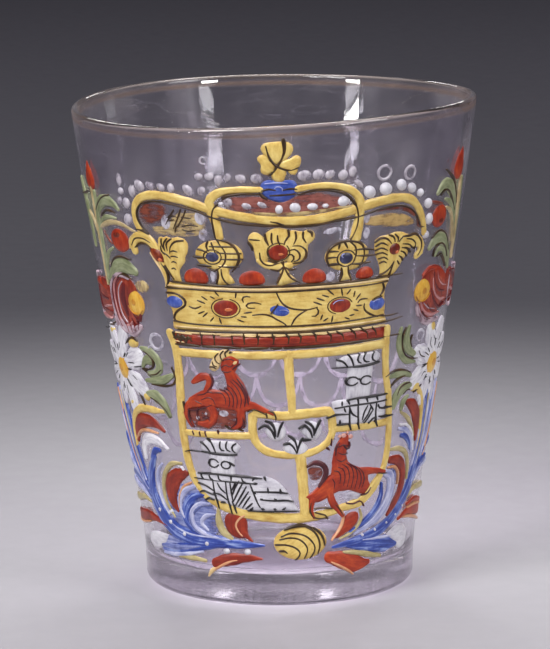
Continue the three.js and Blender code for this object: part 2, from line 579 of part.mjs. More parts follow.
// Flower spray right of the shield
function rightSpray() {
  enamel("right_sprig", greenEnamel, 0,
    stroke([1.6, 1.9, 1.6], [73.4, 90], [73.8, 84], [73.6, 78], [72.4, 74]),
    stroke([1.2, 2.9, 3, 2.4, 1.8, 1.2],
      [56.4, 89.4], [59.6, 91.1], [63.6, 90.3], [67, 87.8], [69.6, 84], [72, 80],
    ),
    stroke([0.8, 1.3, 1.3, 0.9], [61.4, 87.6], [64.6, 86.9], [68, 84.2], [71, 80.6]),
    stroke([1.2, 2.9, 3.2, 2.8, 1.8],
      [54.8, 77.6], [57.8, 79.2], [61.6, 79.3], [66, 77.8], [71.4, 75.2],
    ),
  );
  enamel("right_bud_top", redEnamel, 0, patch(
    [65.6, 93.4], [66.8, 91.8], [69.6, 91.1], [72.4, 91.8], [73.2, 93.8], [72, 96.4], [71, 98.2],
    [69.4, 97.4], [66.8, 95.8],
  ));
  enamel("right_bud_side", redEnamel, 0, drop(58.9, 84.1, 4.4, 2.4));
  enamel("right_carnation", roseEnamel, 0,
    patch(
      [51.2, 67], [53, 71.6], [57, 73.6], [63, 73], [68, 71], [70, 67.4], [68, 63.8], [62, 61.4],
      [56, 61.8], [52.6, 64],
    ),
    patch([66, 69], [73, 71.6], [79, 70.4], [83, 67.4], [80, 63.9], [73, 63], [66, 65]),
  );
  enamel("right_carnation_eye", yellowEnamel, 1, drop(53.9, 68.5, 4.1, 2.3));
  daisy("right", 67.4, 51.3);
  enamel("right_petal_upper", redEnamel, 0, stroke([1.6, 3.3, 3.5, 2.7, 1],
    [53, 43.7], [57, 42.5], [60.6, 40], [62.4, 37], [62.8, 34.2],
  ));
  enamel("right_petal_lower", redEnamel, 0, stroke([1.6, 2.6, 2.6, 2.6, 2.4, 1.8, 0.8],
    [47.8, 31.2], [51, 30.8], [54.8, 29.2], [56.6, 26.4], [55.4, 23.4], [52.4, 21.2], [49.2, 19.2],
  ));
  enamel("right_petal_inner", redEnamel, 0, patch(
    [21.6, 15.4], [23.6, 16.8], [25.4, 18.8], [27.4, 20.2], [30, 20.8], [32.8, 20.4], [33.4, 18.8],
    [31, 17.1], [27, 15.8], [23.6, 15],
  ));
  enamel("right_petal_bottom", redEnamel, 0, stroke([2.4, 3.6, 3.4, 2.4, 0.8],
    [20.8, 10.9], [25, 10.4], [31, 9.4], [37, 8.7], [40, 8.4],
  ));
  enamel("right_scroll", blueEnamel, 0,
    stroke([0.6, 1.8, 2.2, 2.4, 2.4, 2.8, 3.8, 3.6, 2.8, 2, 1.2],
      [22, 13.2], [30, 13.8], [38, 14.4], [46, 15.6], [52, 17.2], [58, 20], [63, 24], [66, 28.4],
      [67.6, 34], [67.8, 39], [67.2, 42.4],
    ),
    stroke([2, 3, 2.8, 1.4], [61, 22.4], [66, 25.4], [73, 27.4], [81, 28.2]),
    stroke([1, 2.4, 2.9, 2.4, 0.8], [28.4, 13.1], [38, 12.6], [46, 11.8], [52, 11.2], [57, 10.6]),
  );
}

// A daisy with round petal ends and a yellow eye in a second coat; both keep their real size on the glass
function daisy(side, angle, height) {
  const petals = 8;
  const reach = 8.8;
  const notch = 0.22;
  const notchSharpness = 1.5;
  const eyeRadius = 2.5;
  const pointsPerPetal = 4;
  const perDegree = wallRadius(height * glassHeight / sheetHeight) * degrees;
  const around = Array.from({ length: petals * pointsPerPetal }, (_, i) => {
    const turn = 2 * Math.PI * i / (petals * pointsPerPetal);
    const radius = reach * (1 - notch * (1 - Math.abs(Math.sin(turn * petals / 2))) ** notchSharpness);
    return [angle + radius * Math.cos(turn) / perDegree, height + radius * Math.sin(turn)];
  });
  enamel(`${side}_daisy`, whiteEnamel, 0, panel(...around));
  enamel(`${side}_daisy_eye`, yellowEnamel, 1, drop(angle, height, eyeRadius / perDegree, eyeRadius));
}

// Net of thin white loops on the far side, which shows through the clear quarters of the shield
function backNet() {
  const lineWidth = 1;
  const rows = 3;
  const loopsInRow = 6;
  const loopAngle = 18;
  const loopDepth = 7;
  const lowestTop = 32;
  const loops = [];
  for (let row = 0; row < rows; row++) {
    const top = lowestTop + row * loopDepth;
    for (let i = 0; i < loopsInRow; i++) {
      const middle = 180 + (i - (loopsInRow - 1) / 2 + (row % 2) / 2) * loopAngle;
      loops.push(stroke([lineWidth, lineWidth],
        [middle - loopAngle / 2, top], [middle - 0.4 * loopAngle, top - 0.6 * loopDepth],
        [middle - 0.2 * loopAngle, top - 0.94 * loopDepth], [middle, top - loopDepth],
        [middle + 0.2 * loopAngle, top - 0.94 * loopDepth],
        [middle + 0.4 * loopAngle, top - 0.6 * loopDepth], [middle + loopAngle / 2, top],
      ));
    }
  }
  enamel("back_net", whiteEnamel, 0, ...loops);
}

glassBody();
crownTop();
crownArches();
crownLinings();
crownLeaves();
crownDiscs();
crownFleuron();
crownCaps();
circlet();
shield();
lions();
castles();
lilies();
shell();
leftSpray();
rightSpray();
backNet();

export default glass;
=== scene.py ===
import math

import bpy
import numpy as np
from mathutils import Matrix, Vector


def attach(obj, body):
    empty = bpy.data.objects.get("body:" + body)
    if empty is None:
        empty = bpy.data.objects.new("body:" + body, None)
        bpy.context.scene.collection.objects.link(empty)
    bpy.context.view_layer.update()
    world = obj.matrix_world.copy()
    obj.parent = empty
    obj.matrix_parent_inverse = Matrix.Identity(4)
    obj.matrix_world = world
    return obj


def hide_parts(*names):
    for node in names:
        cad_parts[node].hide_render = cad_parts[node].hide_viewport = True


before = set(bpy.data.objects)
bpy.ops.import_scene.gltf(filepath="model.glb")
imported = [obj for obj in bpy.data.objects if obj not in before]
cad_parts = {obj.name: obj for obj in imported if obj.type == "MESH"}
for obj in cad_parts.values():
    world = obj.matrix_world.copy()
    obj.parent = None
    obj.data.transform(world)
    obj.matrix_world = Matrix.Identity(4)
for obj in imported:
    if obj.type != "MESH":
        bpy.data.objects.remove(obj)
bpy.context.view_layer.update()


# The beaker
# One gather of clear glass, blown and flared by hand, with a thick cut-off floor and a fire-polished lip.
# It leans a little off true, its wall has slow waves, cords and seeds, and its foot and inside are worn.
glass_height = 108.0
rim_radius = 44.9
foot_radius = 30.0
foot_waist_depth = 1.1
lip_thickness = 1.8
wall_thickness = 2.1
floor_thickness = 6.5
heel_radius = 1.8
inner_corner_radius = 4.0
standing_radius = 24.0
kick_up = 1.2
mouth_offset = 0.72
rim_rise = 1.2
rim_warp = 1.0
floor_dome = 0.5
wave_depths = (0.07, 0.045, 0.025)
inside_turn = 0.5
inside_stretch = 1.2
wall_steps = 72
corner_steps = 9
lip_steps = 7
facets_round = 240


def wall_radius(height):
    """Outer radius in mm: a straight flare from foot to rim, less a hump t(1-t)^5 low down."""
    t = height / glass_height
    hump_peak = (1 / 6) * (5 / 6) ** 5
    drawn_in = foot_waist_depth * t * np.maximum(0, 1 - t) ** 5 / hump_peak
    return foot_radius + (rim_radius - foot_radius) * t - drawn_in


def ripple(angle, height):
    """Unevenness of the wall in mm: three waves round the glass that drift with height, none at the foot."""
    slow, middling, quick = wave_depths
    waves = slow * np.sin(2 * angle + 0.031 * height) + middling * np.sin(5 * angle - 0.06 * height + 1.3)
    waves = waves + quick * np.sin(11 * angle + 0.12 * height + 0.6)
    return waves * np.clip(height / 10, 0, 1)


def place(radius, angle, height):
    """Points in metres: a round form's radius, angle from the front and height, slid towards the mouth's
    offset and lifted by the square of the height times the rim's rise and warp."""
    x = radius * np.sin(angle)
    y = -radius * np.cos(angle)
    t = height / glass_height
    lift = rim_rise * x / rim_radius - rim_warp * x * y / rim_radius ** 2
    return np.stack(np.broadcast_arrays(x + mouth_offset * (1 - t), y, height + t * t * lift), axis=-1) / 1000


def arc(centre_radius, centre_height, radius, first, last, steps):
    """Profile points of a round: centre plus radius times the cosine and sine of angles, first to last."""
    angle = np.radians(np.linspace(first, last, steps + 1))
    return np.stack([centre_radius + radius * np.cos(angle), centre_height + radius * np.sin(angle)], axis=-1)


def gather(rings):
    """Corner values of a skin over rings: the mean of the first and of the last ring, all of the others."""
    width = rings.shape[-1]
    return np.concatenate([rings[:1].mean(axis=1), rings[1:-1].reshape(-1, width), rings[-1:].mean(axis=1)])


def skin(rings):
    """Closed skin over rings (ring, around, 3): quads join neighbouring rings, fans close the two end points,
    and all faces are turned over if the enclosed volume, the sum of a . (b x c), comes out negative."""
    count, around = rings.shape[:2]
    corners = gather(rings)
    here = np.arange(around)
    there = np.roll(here, -1)
    rows = 1 + around * np.arange(count - 3)[:, None]
    quads = np.stack([rows + here, rows + there, rows + around + there, rows + around + here], axis=-1)
    quads = quads.reshape(-1, 4)
    last = len(corners) - 1
    first_fan = np.stack([0 * here, 1 + there, 1 + here], axis=-1)
    last_fan = np.stack([0 * here + last, last - around + here, last - around + there], axis=-1)
    fans = np.concatenate([first_fan, last_fan])
    triangles = np.concatenate([quads[:, :3], quads[:, [0, 2, 3]], fans])
    a, b, c = corners[triangles].transpose(1, 0, 2)
    if np.sum(a * np.cross(b, c)) < 0:
        quads, fans = quads[:, ::-1], fans[:, ::-1]
    return corners, quads, fans


def new_object(name, corners, faces, finish):
    """An object with this mesh and finish, linked to the scene."""
    mesh = bpy.data.meshes.new(name)
    mesh.from_pydata(corners, [], faces)
    mesh.materials.append(finish)
    made = bpy.data.objects.new(name, mesh)
    bpy.context.scene.collection.objects.link(made)
    return made


def lay_down(name, shapes, finish, *nodes, slot=None):
    """One object from several closed skins, each given as rings of points and of brush values."""
    corners, faces, brush = [], [], []
    total = 0
    for rings, values_there in shapes:
        points, quads, fans = skin(rings)
        corners.append(points)
        brush.append(gather(values_there))
        faces += (quads + total).tolist() + (fans + total).tolist()
        total += len(points)
    piece = new_object(name, np.concatenate(corners), faces, finish)
    values = piece.data.attributes.new("brush", "FLOAT_VECTOR", "POINT").data
    values.foreach_set("vector", np.concatenate(brush).ravel())
    piece.data.polygons.foreach_set("use_smooth", np.ones(len(faces), dtype=bool))
    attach(piece, "root")
    if nodes:
        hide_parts(*nodes)
    return piece


lip_radius = lip_thickness / 2
lip_height = glass_height - lip_radius
corner_height = floor_thickness + inner_corner_radius
corner_centre = wall_radius(corner_height) - wall_thickness - inner_corner_radius
hollow = np.linspace(0, 1, 14)
outer_height = np.linspace(heel_radius, lip_height, wall_steps)[1:-1]
inner_height = np.linspace(lip_height, corner_height, wall_steps)[1:-1]
inner_share = (inner_height - corner_height) / (lip_height - corner_height)
inner_wall = wall_thickness + (lip_thickness - wall_thickness) * inner_share
floor_share = np.linspace(1, 0, 12)[1:]
outside = np.concatenate([
    np.stack([standing_radius * hollow, kick_up * (1 - hollow ** 2)], axis=-1),
    arc(wall_radius(heel_radius) - heel_radius, heel_radius, heel_radius, -90, 0, corner_steps),
    np.stack([wall_radius(outer_height), outer_height], axis=-1),
    arc(wall_radius(lip_height) - lip_radius, lip_height, lip_radius, 0, 90, lip_steps),
])
inside = np.concatenate([
    arc(wall_radius(lip_height) - lip_radius, lip_height, lip_radius, 90, 180, lip_steps)[1:],
    np.stack([wall_radius(inner_height) - inner_wall, inner_height], axis=-1),
    arc(corner_centre, corner_height, inner_corner_radius, 0, -90, corner_steps),
    np.stack([corner_centre * floor_share,
              floor_thickness + floor_dome * (1 - floor_share ** 2) ** 2], axis=-1),
])
profile = np.concatenate([outside, inside])
is_inside = np.concatenate([np.zeros(len(outside)), np.ones(len(inside))])[:, None]
around = np.linspace(0, 2 * np.pi, facets_round, endpoint=False)[None]
height = profile[:, 1:]
inner_wave = ripple(around + inside_turn, inside_stretch * height)
wave = ripple(around, height) * (1 - is_inside) + inner_wave * is_inside
share_out = np.clip(profile[:, :1] / standing_radius, 0, 1)
glass_rings = place(profile[:, :1] + wave * share_out, around, height + 0 * around)
glass_values = np.stack(np.broadcast_arrays(around, height / glass_height, is_inside), axis=-1)


class Socket:
    """An output of a shader node. Sums and products with it add their Math nodes to the tree."""

    def __init__(self, tree, output=None):
        self.tree = tree
        self.output = output

    def node(self, kind, settings=None, inputs=None, out=0):
        """A new node of this kind: its settings and ramp stops, then the values or links of its sockets."""
        made = self.tree.nodes.new("ShaderNode" + kind)
        for name, value in (settings or {}).items():
            if name == "stops":
                for index, (position, tone) in enumerate(value):
                    ramp = made.color_ramp.elements
                    stop = ramp[index] if index < 2 else ramp.new(position)
                    stop.position = position
                    stop.color = (*tone, 1)
            else:
                setattr(made, name, value)
        for name, value in (inputs or {}).items():
            if isinstance(value, Socket):
                self.tree.links.new(value.output, made.inputs[name])
            else:
                made.inputs[name].default_value = value
        return Socket(self.tree, made.outputs[out] if made.outputs else None)

    def sum(self, operation, first, second):
        return self.node("Math", {"operation": operation}, {0: first, 1: second})

    def __add__(self, other):
        return self.sum("ADD", self, other)

    __radd__ = __add__

    def __sub__(self, other):
        return self.sum("SUBTRACT", self, other)

    def __rsub__(self, other):
        return self.sum("SUBTRACT", other, self)

    def __mul__(self, other):
        return self.sum("MULTIPLY", self, other)

    __rmul__ = __mul__

    def between(self, low, high):
        """Soft step: 0 where this is below low, 1 above high."""
        reach = {"Value": self, "From Min": low, "From Max": high}
        return self.node("MapRange", {"interpolation_type": "SMOOTHSTEP"}, reach)

    def noise(self, scale, detail=3.0, stretch=(1, 1, 1), shift=(0, 0, 0)):
        """Noise over this vector, stretched first and shifted."""
        moved = self.node("Mapping", None, {"Vector": self, "Scale": stretch, "Location": shift})
        return self.node("TexNoise", None, {"Vector": moved, "Scale": scale, "Detail": detail})

    def tint(self, first, second):
        """Mix of two colours, this being the share of the second."""
        return self.node("Mix", {"data_type": "RGBA"}, {0: self, 6: first, 7: second}, out=2)


def new_finish(name):
    """An empty material, and a socket to start its nodes from."""
    made = bpy.data.materials.new(name)
    made.use_nodes = True
    made.node_tree.nodes.clear()
    return made, Socket(made.node_tree)


def colour(red, green, blue):
    """Linear values of a colour read on the 0 to 255 scale, with its fourth value 1."""
    values = np.array([red, green, blue]) / 255
    return (*np.where(values < 0.04, values / 12.92, ((values + 0.055) / 1.055) ** 2.4).tolist(), 1.0)


clear_glass, start = new_finish("clear_blown_glass")
where = start.node("TexCoord", out="Object")
side = start.node("Attribute", {"attribute_name": "brush"}, out="Vector")
level = start.node("SeparateXYZ", None, {0: side}, out=1)
cords = where.noise(60, 2, stretch=(1, 1, 0.12))
waves = where.noise(25, 1, shift=(3, 1, 2))
seed_cells = start.node("TexVoronoi", None, {"Vector": where, "Scale": 210}, out="Distance")
seeds = 1 - seed_cells.between(0.06, 0.12)
rubbed = where.noise(900, 4, stretch=(1, 1, 0.08), shift=(1, 5, 3))
hairline = where.noise(340, 2, stretch=(0.12, 0.12, 1), shift=(4, 0, 7))
scratches = hairline.between(0.495, 0.5) * (1 - hairline.between(0.5, 0.505))
foot_wear = 1 - level.between(0.015, 0.07)
cloud = where.noise(70, 4, shift=(9, 2, 6)).between(0.4, 0.75)
relief = cords * 0.5 + waves * 1.2 + seeds * 0.12 + rubbed * 0.03 * foot_wear
bump = start.node("Bump", None, {"Strength": 0.5, "Distance": 0.0006, "Height": relief})
lip_tone = level.between(0.985, 1.0)
thick_foot = 1 - level.between(0.05, 0.085)
own_tone = thick_foot.tint(colour(244, 241, 247), colour(206, 198, 210))
body_tone = lip_tone.tint(own_tone, colour(226, 206, 176))
lip_line = level.between(0.974, 0.981) * (1 - level.between(0.983, 0.99))
streaks = where.noise(75, 3, stretch=(1, 1, 0.1), shift=(6, 1, 0)).between(0.54, 0.74)
clear = start.node("BsdfPrincipled", None, {
    "Base Color": body_tone, "Roughness": 0.02 + cloud * 0.03 + foot_wear * 0.12, "IOR": 1.5,
    "Transmission Weight": 1.0, "Normal": bump,
})
film_tone = cloud.tint(colour(176, 168, 184), colour(214, 208, 214))
haze_tone = lip_line.tint(film_tone, colour(150, 118, 90))
haze = start.node("BsdfPrincipled", None, {"Base Color": haze_tone, "Roughness": 0.5})
haze_share = 0.014 + cloud * 0.04 + streaks * 0.07 + scratches * 0.14 + lip_line * 0.13
haze_share = haze_share + foot_wear * rubbed.between(0.45, 0.7) * 0.25
worn = start.node("MixShader", None, {0: haze_share, 1: clear, 2: haze})
let_through = start.node("BsdfTransparent", None, {"Color": colour(232, 228, 234)})
shadow_ray = start.node("LightPath", out="Is Shadow Ray")
seen = start.node("MixShader", None, {0: shadow_ray, 1: worn, 2: let_through})
start.node("OutputMaterial", None, {"Surface": seen})

lay_down("beaker", [(glass_rings, glass_values)], clear_glass, "glass_body", slot="clear_glass")


# Trefoil of the crown
# Yellow enamel, a paste of ground glass and oil, laid on with a full brush and fused on in the muffle kiln.
# Three round petals and a short neck; thin brown-black veins are drawn over them before the firing.
sheet_per_degree = 0.64
first_coat = 0.34
sunk = -0.05
line_top = 0.43


def sheet(path):
    """Points of a path, written as degrees from the front and millimetres up, on the unrolled sheet."""
    return np.reshape(path, (-1, 2)) * (sheet_per_degree, 1)


def on_glass(flat, out):
    """Points in metres of a place on the unrolled sheet, the given distance out from the glass's own wall."""
    angle = np.radians(flat[..., 0] / sheet_per_degree)
    height = flat[..., 1]
    return place(wall_radius(height) + ripple(angle, height) + out, angle, height)


def smooth(points, spacing, closed=False, curved=True):
    """Evenly spaced points on a soft curve: between two of the points given it is the cubic whose end slopes
    mix the neighbouring chords by the square roots of their lengths. Not curved, it is the plain chords."""
    if closed:
        chain = np.concatenate([points[-1:], points, points[:2]])
    else:
        chain = np.concatenate([2 * points[:1] - points[1:2], points, 2 * points[-1:] - points[-2:-1]])
    before, near, far, after = chain[:-3], chain[1:-2], chain[2:-1], chain[3:]
    root = [np.sqrt(np.linalg.norm(b - a, axis=1, keepdims=True)) + 1e-6
            for a, b in ((before, near), (near, far), (far, after))]
    slope_near = root[1] * ((near - before) / root[0] - (far - before) / (root[0] + root[1])) + far - near
    slope_far = root[1] * ((after - far) / root[2] - (after - near) / (root[1] + root[2])) + far - near
    t = np.linspace(0, 1, 12, endpoint=False)[:, None, None]
    if curved:
        dense = ((2 * t ** 3 - 3 * t ** 2 + 1) * near + (t ** 3 - 2 * t ** 2 + t) * slope_near
                 + (3 * t ** 2 - 2 * t ** 3) * far + (t ** 3 - t ** 2) * slope_far)
    else:
        dense = near + (far - near) * t
    dense = np.concatenate([dense.transpose(1, 0, 2).reshape(-1, 2), far[-1:]])
    length = np.concatenate([[0], np.cumsum(np.linalg.norm(np.diff(dense, axis=0), axis=1))])
    steps = max(4, round(length[-1] / spacing))
    even = np.linspace(0, length[-1], steps + 1)
    spread = np.stack([np.interp(even, length, dense[:, axis]) for axis in (0, 1)], axis=-1)
    return spread[:-1] if closed else spread


def brushed(path, *widths, top=first_coat, foot=sunk, square=False, wobble=0.05):
    """One brush stroke as rings and brush values. Its middle is the soft curve through the path, its half
    width h runs through the widths given and wobbles by a share of itself, it stands
    foot + (top - foot)(1 - |c|^p) high with c from -1 to 1 across, and its ends close in quarter ellipses.
    The brush values are mm across, mm along and |c|."""
    broad = max(widths) / 2
    middle = smooth(sheet(path), 0.5 + 0.4 * broad)
    way = np.gradient(middle, axis=0)
    way /= np.linalg.norm(way, axis=1, keepdims=True)
    along = np.concatenate([[0], np.cumsum(np.linalg.norm(np.diff(middle, axis=0), axis=1))])
    half = np.interp(along / along[-1], np.linspace(0, 1, len(widths)), widths) / 2
    phase = 7.3 * middle[0, 0] + 3.1 * middle[0, 1]
    half = half * (1 + wobble * (np.sin(1.3 * along + phase) + 0.7 * np.sin(3.7 * along + 2 * phase)))
    turn = np.radians([90] if square else [90, 72, 50, 28, 10])
    reach = 0 * turn if square else 0.9 * np.sin(turn)
    close = 0 * turn + 1 if square else np.cos(turn)
    middle = np.concatenate([middle[0] - np.outer(half[0] * reach, way[0]), middle,
                             middle[-1] + np.outer(half[-1] * reach, way[-1])[::-1]])
    along = np.concatenate([along[0] - half[0] * reach, along, (along[-1] + half[-1] * reach)[::-1]])
    rise = np.concatenate([close ** 0.5, np.ones(len(half)), close[::-1] ** 0.5])
    half = np.concatenate([half[0] * close, half, (half[-1] * close)[::-1]])
    way = np.concatenate([np.repeat(way[:1], len(turn), axis=0), way, np.repeat(way[-1:], len(turn), axis=0)])
    across = np.sin(np.radians(np.linspace(-90, 90, 7 if broad < 0.5 else 11)))
    dome = 1 - np.abs(across) ** (2 + 2.5 * broad)
    across = np.concatenate([across, [0.6, -0.6]])
    dome = np.concatenate([dome, [0, 0]])
    normal = np.stack([-way[:, 1], way[:, 0]], axis=-1)
    flat = middle[:, None] + normal[:, None] * (half[:, None] * across)[..., None]
    rings = on_glass(flat, foot + (top - foot) * rise[:, None] * dome)
    values = np.stack(np.broadcast_arrays(half[:, None] * across, along[:, None], np.abs(across)), axis=-1)
    return rings, values


def dab(outline, top=first_coat, foot=sunk, grain=90, curved=True, power=6.0):
    """A painted patch as rings and brush values: its outline is drawn in towards its middle by the share s
    and stands foot + (top - foot)(1 - s^power) high. The brush values: mm across the
    grain, mm along it and s."""
    edge = smooth(sheet(outline), 0.7, closed=True, curved=curved)
    middle = edge.mean(axis=0)
    reach = np.linalg.norm(edge - middle, axis=1).max()
    share = np.cos(np.radians(np.linspace(0, 90, int(np.clip(reach / 0.6, 7, 18)))))
    share = np.concatenate([[0, 0.5, 0.92], share])[:, None]
    stand = np.concatenate([[[0], [0], [0]], 1 - share[3:] ** power])
    flat = middle + (edge - middle) * share[..., None]
    rings = on_glass(flat, foot + (top - foot) * stand + 0 * flat[..., 0])
    offset = flat - middle
    turn = math.radians(grain)
    lengthways = offset @ (math.cos(turn), math.sin(turn))
    sideways = offset @ (-math.sin(turn), math.cos(turn))
    values = np.stack([sideways, lengthways, share + 0 * lengthways], axis=-1)
    return rings, values


def lines(width, *paths, top=line_top):
    """Thin lines of one brush, a quarter broader where it is pressed down and thinner at the two ends."""
    return [brushed(path, 0.8 * width, 1.25 * width, 1.25 * width, 0.7 * width, top=top, foot=0)
            for path in paths]


def enamel(name, light, body, deep, gloss=0.24, cover=1.0, streak=1.0, length=0.35):
    """Fused enamel paste: three tones along the brush marks, deep edges from thin paste and painted shade,
    pits, grains and a glossy melt.
    The streak says how strong the marks are and the length how fast they change along the stroke. Below a
    cover of 1 the paste is thin in places and lets the glass show."""
    light, body, deep = colour(*light), colour(*body), colour(*deep)
    made, start = new_finish(name)
    where = start.node("TexCoord", out="Object")
    brush = start.node("Attribute", {"attribute_name": "brush"}, out="Vector")
    edge = start.node("SeparateXYZ", None, {0: brush}, out=2)
    marks = brush.noise(1, 3, stretch=(1.8, length, 0.2))
    patches = where.noise(330, 3)
    grains = where.noise(2400, 2)
    tone = (marks - 0.5) * (0.8 * streak) + (patches - 0.5) * 0.9 + (grains - 0.5) * 0.3 + 0.5
    paste = start.node("ValToRGB", {"stops": [(0.1, deep[:3]), (0.5, body[:3]), (0.85, light[:3])]},
                       {0: tone})
    # Stroke edges: where the paste thins, and painted shade that darkens each stroke's rim towards its deep
    # tone.
    thin_paste_and_edge_shade = edge.between(0.7, 1.02)
    pits_here = start.node("TexVoronoi", None, {"Vector": where, "Scale": 1050}, out="Distance")
    pits = (1 - pits_here.between(0.08, 0.2)) * where.noise(500, 1, shift=(2, 2, 5)).between(0.52, 0.62)
    shade = (thin_paste_and_edge_shade * 0.3 + pits * 0.5).tint(paste, deep)
    relief = marks * 0.6 * streak + patches * 0.5 + grains * 0.12 - pits * 0.7
    bump = start.node("Bump", None, {"Strength": 0.4, "Distance": 0.00008, "Height": relief})
    inputs = {"Base Color": shade, "Roughness": gloss + grains * 0.18 + pits * 0.3, "IOR": 1.52,
              "Normal": bump}
    if cover < 1:
        veil = (marks - 0.5) * 1.6 + (patches - 0.5) * 2.2 + cover - thin_paste_and_edge_shade * 0.35
        inputs["Alpha"] = veil.between(0, 1)
    start.node("OutputMaterial", None, {"Surface": start.node("BsdfPrincipled", None, inputs)})
    return made


yellow = enamel("yellow_enamel_paste", (236, 211, 134), (218, 187, 105), (178, 134, 56))
ink = enamel("brown_black_line", (92, 62, 22), (56, 35, 10), (26, 15, 6), gloss=0.32)

lay_down("trefoil", [
    dab((-0.2, 99.8, -1.4, 100.8, -3, 102.2, -3.7, 103.4, -2.9, 104.4, -0.4, 104.7, 2, 104.7, 4.1, 104.4,
         5.3, 103.2, 4.8, 101.9, 3.4, 100.8, 1.8, 99.8)),
    dab((0.4, 99.6, -0.4, 98.2, -2.3, 97.5, -3.8, 98.3, -3.7, 99.8, -4.8, 101.1, -3.8, 102, -2.4, 101.9,
         -1.2, 100.8), grain=130),
    dab((0.8, 99.6, 2.4, 98.6, 4.6, 98.1, 6.5, 98.6, 7.4, 99.9, 7.2, 101.2, 5.9, 101.6, 4.4, 100.9,
         2.6, 100.6), grain=20),
    dab((3.6, 98.6, 4.2, 97.6, 5.4, 97.2, 6.4, 97.9, 6.4, 98.8, 5, 99), grain=30),
    dab((-1, 98, -0.4, 96.5, 0.8, 95.9, 2.4, 95.9, 3, 97, 3.4, 98.2, 1.2, 99.6)),
], yellow, "crown_trefoil", slot="yellow_enamel")

lay_down("trefoil_veins", lines(
    0.5,
    (-2.2, 103.8, -1.6, 102, -0.6, 100.4, 0.8, 99.3, 2.4, 98.7, 4.4, 98.4, 6.6, 98.8),
    (2.6, 105, 2.8, 103.4, 2.2, 101.2, 1, 99.6, -0.2, 98.2, -1.6, 97.4),
) + lines(0.8, (2.5, 105.2, 2.8, 103, 2.6, 101.8)), ink)


# Orb under the trefoil
# A flat oval of cobalt-blue enamel between the two ends of the arch, with dark strokes and one pale swirl.
blue = enamel("blue_enamel_paste", (112, 130, 200), (62, 84, 166), (32, 46, 116))
lilac = enamel("lilac_enamel", (186, 188, 220), (150, 154, 200), (104, 110, 172))

lay_down("orb", [
    dab((-4.1, 94.4, -3.7, 95.8, -2, 96.5, -0.6, 96.3, 1.4, 96, 3.4, 96.3, 5.4, 96.1, 6.5, 94.8, 6.3, 93.4,
         4.8, 92.1, 2.6, 91.5, 0, 91.8, -2.5, 92.7), grain=0),
], blue, "crown_orb", slot="blue_enamel")
lay_down("orb_lines", lines(
    0.6,
    (-3.6, 94.2, -1.8, 94.5, 0.2, 94.2), (2.4, 94.2, 4.4, 94.4, 6.2, 94.2), (-1.2, 93.1, 2, 93.1, 5.8, 93.2),
    (-4.2, 93.8, -3.4, 92.9, -2.2, 92.4),
), ink)
lay_down("orb_swirl", lines(
    0.4,
    (0, 94.6, 0.8, 95, 2, 94.7, 2.2, 94), (-2.6, 95.7, 0.4, 95.8, 3.6, 95.6),
), lilac)


# Arches of the crown
# One network of yellow bands, painted in long strokes: a wide low arch from side to side and, above it, one
# band from each side up to the orb. A thin dark line follows the inner edge of each band.
def strokes(rows):
    """Brush strokes, each row holding a path, how far the stroke stands off the glass, and its widths."""
    return [brushed(path, *widths, top=top) for path, top, *widths in rows]


lay_down("arches", strokes([
    ((-16.6, 84, -17.2, 87, -18.6, 90, -18.8, 92.2, -15.6, 94, -10, 94.5, -4, 94.4), first_coat, 1.7, 2, 1.9,
     1.5, 1.4),
    ((6.4, 94.2, 12, 94.6, 18, 94.2, 22.6, 92.9, 25.3, 90.6, 25.4, 87.6, 24.4, 82.6), first_coat, 1.4, 1.4,
     1.6, 2, 2.5),
    ((-44, 84.6, -45.3, 86.7, -45.1, 89.4, -42.6, 91.7, -38, 92.7, -32, 92.6, -26, 91.8, -19, 90.2, -11, 88.8,
      -2, 87.7, 6, 87.3, 14, 87.5, 22, 88.6, 30, 89.7, 36, 90.1, 41, 89.9, 44.6, 88.9, 47.3, 87.1, 49.3, 85,
      50.4, 83.2, 51, 81.4), first_coat, 1.6, 2, 2.1, 2, 2, 2.2, 2.2, 1.9, 1.4),
]), yellow, "crown_arches", slot="yellow_enamel")

lay_down("arch_lines", lines(
    0.52,
    (-16.4, 91.4, -17.8, 90.2, -18.3, 88.4, -18, 86, -17.5, 83.8, -16.4, 82.4),
    (-14.8, 92.5, -13, 93.2, -9, 93.6, -4.6, 93.4),
    (6.6, 93, 10, 93.5, 14, 93.6, 18, 93.1, 21, 92.1, 23.4, 90.3, 24.5, 88.5, 24.8, 87, 24.6, 85.4,
     23.8, 83.8, 22.6, 82.2),
    (-40.6, 84, -42.6, 85.2, -44.2, 87, -44.2, 88.8, -42.4, 90.4, -38, 91.3, -34, 91.3, -29, 90.8, -23, 89.8,
     -20, 88.9, -17, 88.2, -12, 87.3, -6, 86.7, 0, 86.4, 5, 86.1, 11, 86.1, 18, 86.7, 24, 87.1, 28, 87.6,
     32, 88.2, 36, 88.4, 40, 88.3, 43, 87.6, 46, 86, 47.6, 84.2, 48.4, 83.1, 50.2, 82.8),
    (-1.2, 87.4, 1, 87, 3, 86.3), (-45.6, 84.6, -43, 84.5, -40.6, 83.8), (-15, 92.8, -14, 93.2, -11.6, 93.4),
), ink)


# Linings inside the arches
# Thin colour washes, scumbled so that the glass shows through: a straw wash with a rusty patch on the left,
# a rose wash in the middle and an ochre one on the right, with quick brown hatching over them.
straw = enamel("straw_wash", (206, 186, 138), (186, 160, 110), (150, 120, 76), cover=0.62)
rose_wash = enamel("rose_wash", (166, 110, 100), (138, 78, 70), (100, 46, 42), cover=0.78, streak=0.5)
ochre = enamel("ochre_wash", (206, 176, 120), (184, 152, 96), (146, 106, 58), cover=0.85, streak=0.5)
rust = enamel("rust_wash", (150, 84, 66), (120, 58, 42), (78, 30, 18), cover=0.75, streak=0.5)
milk = enamel("milk_wash", (214, 210, 218), (184, 178, 192), (146, 138, 158), cover=0.62, streak=0.5)
wash_top = 0.16


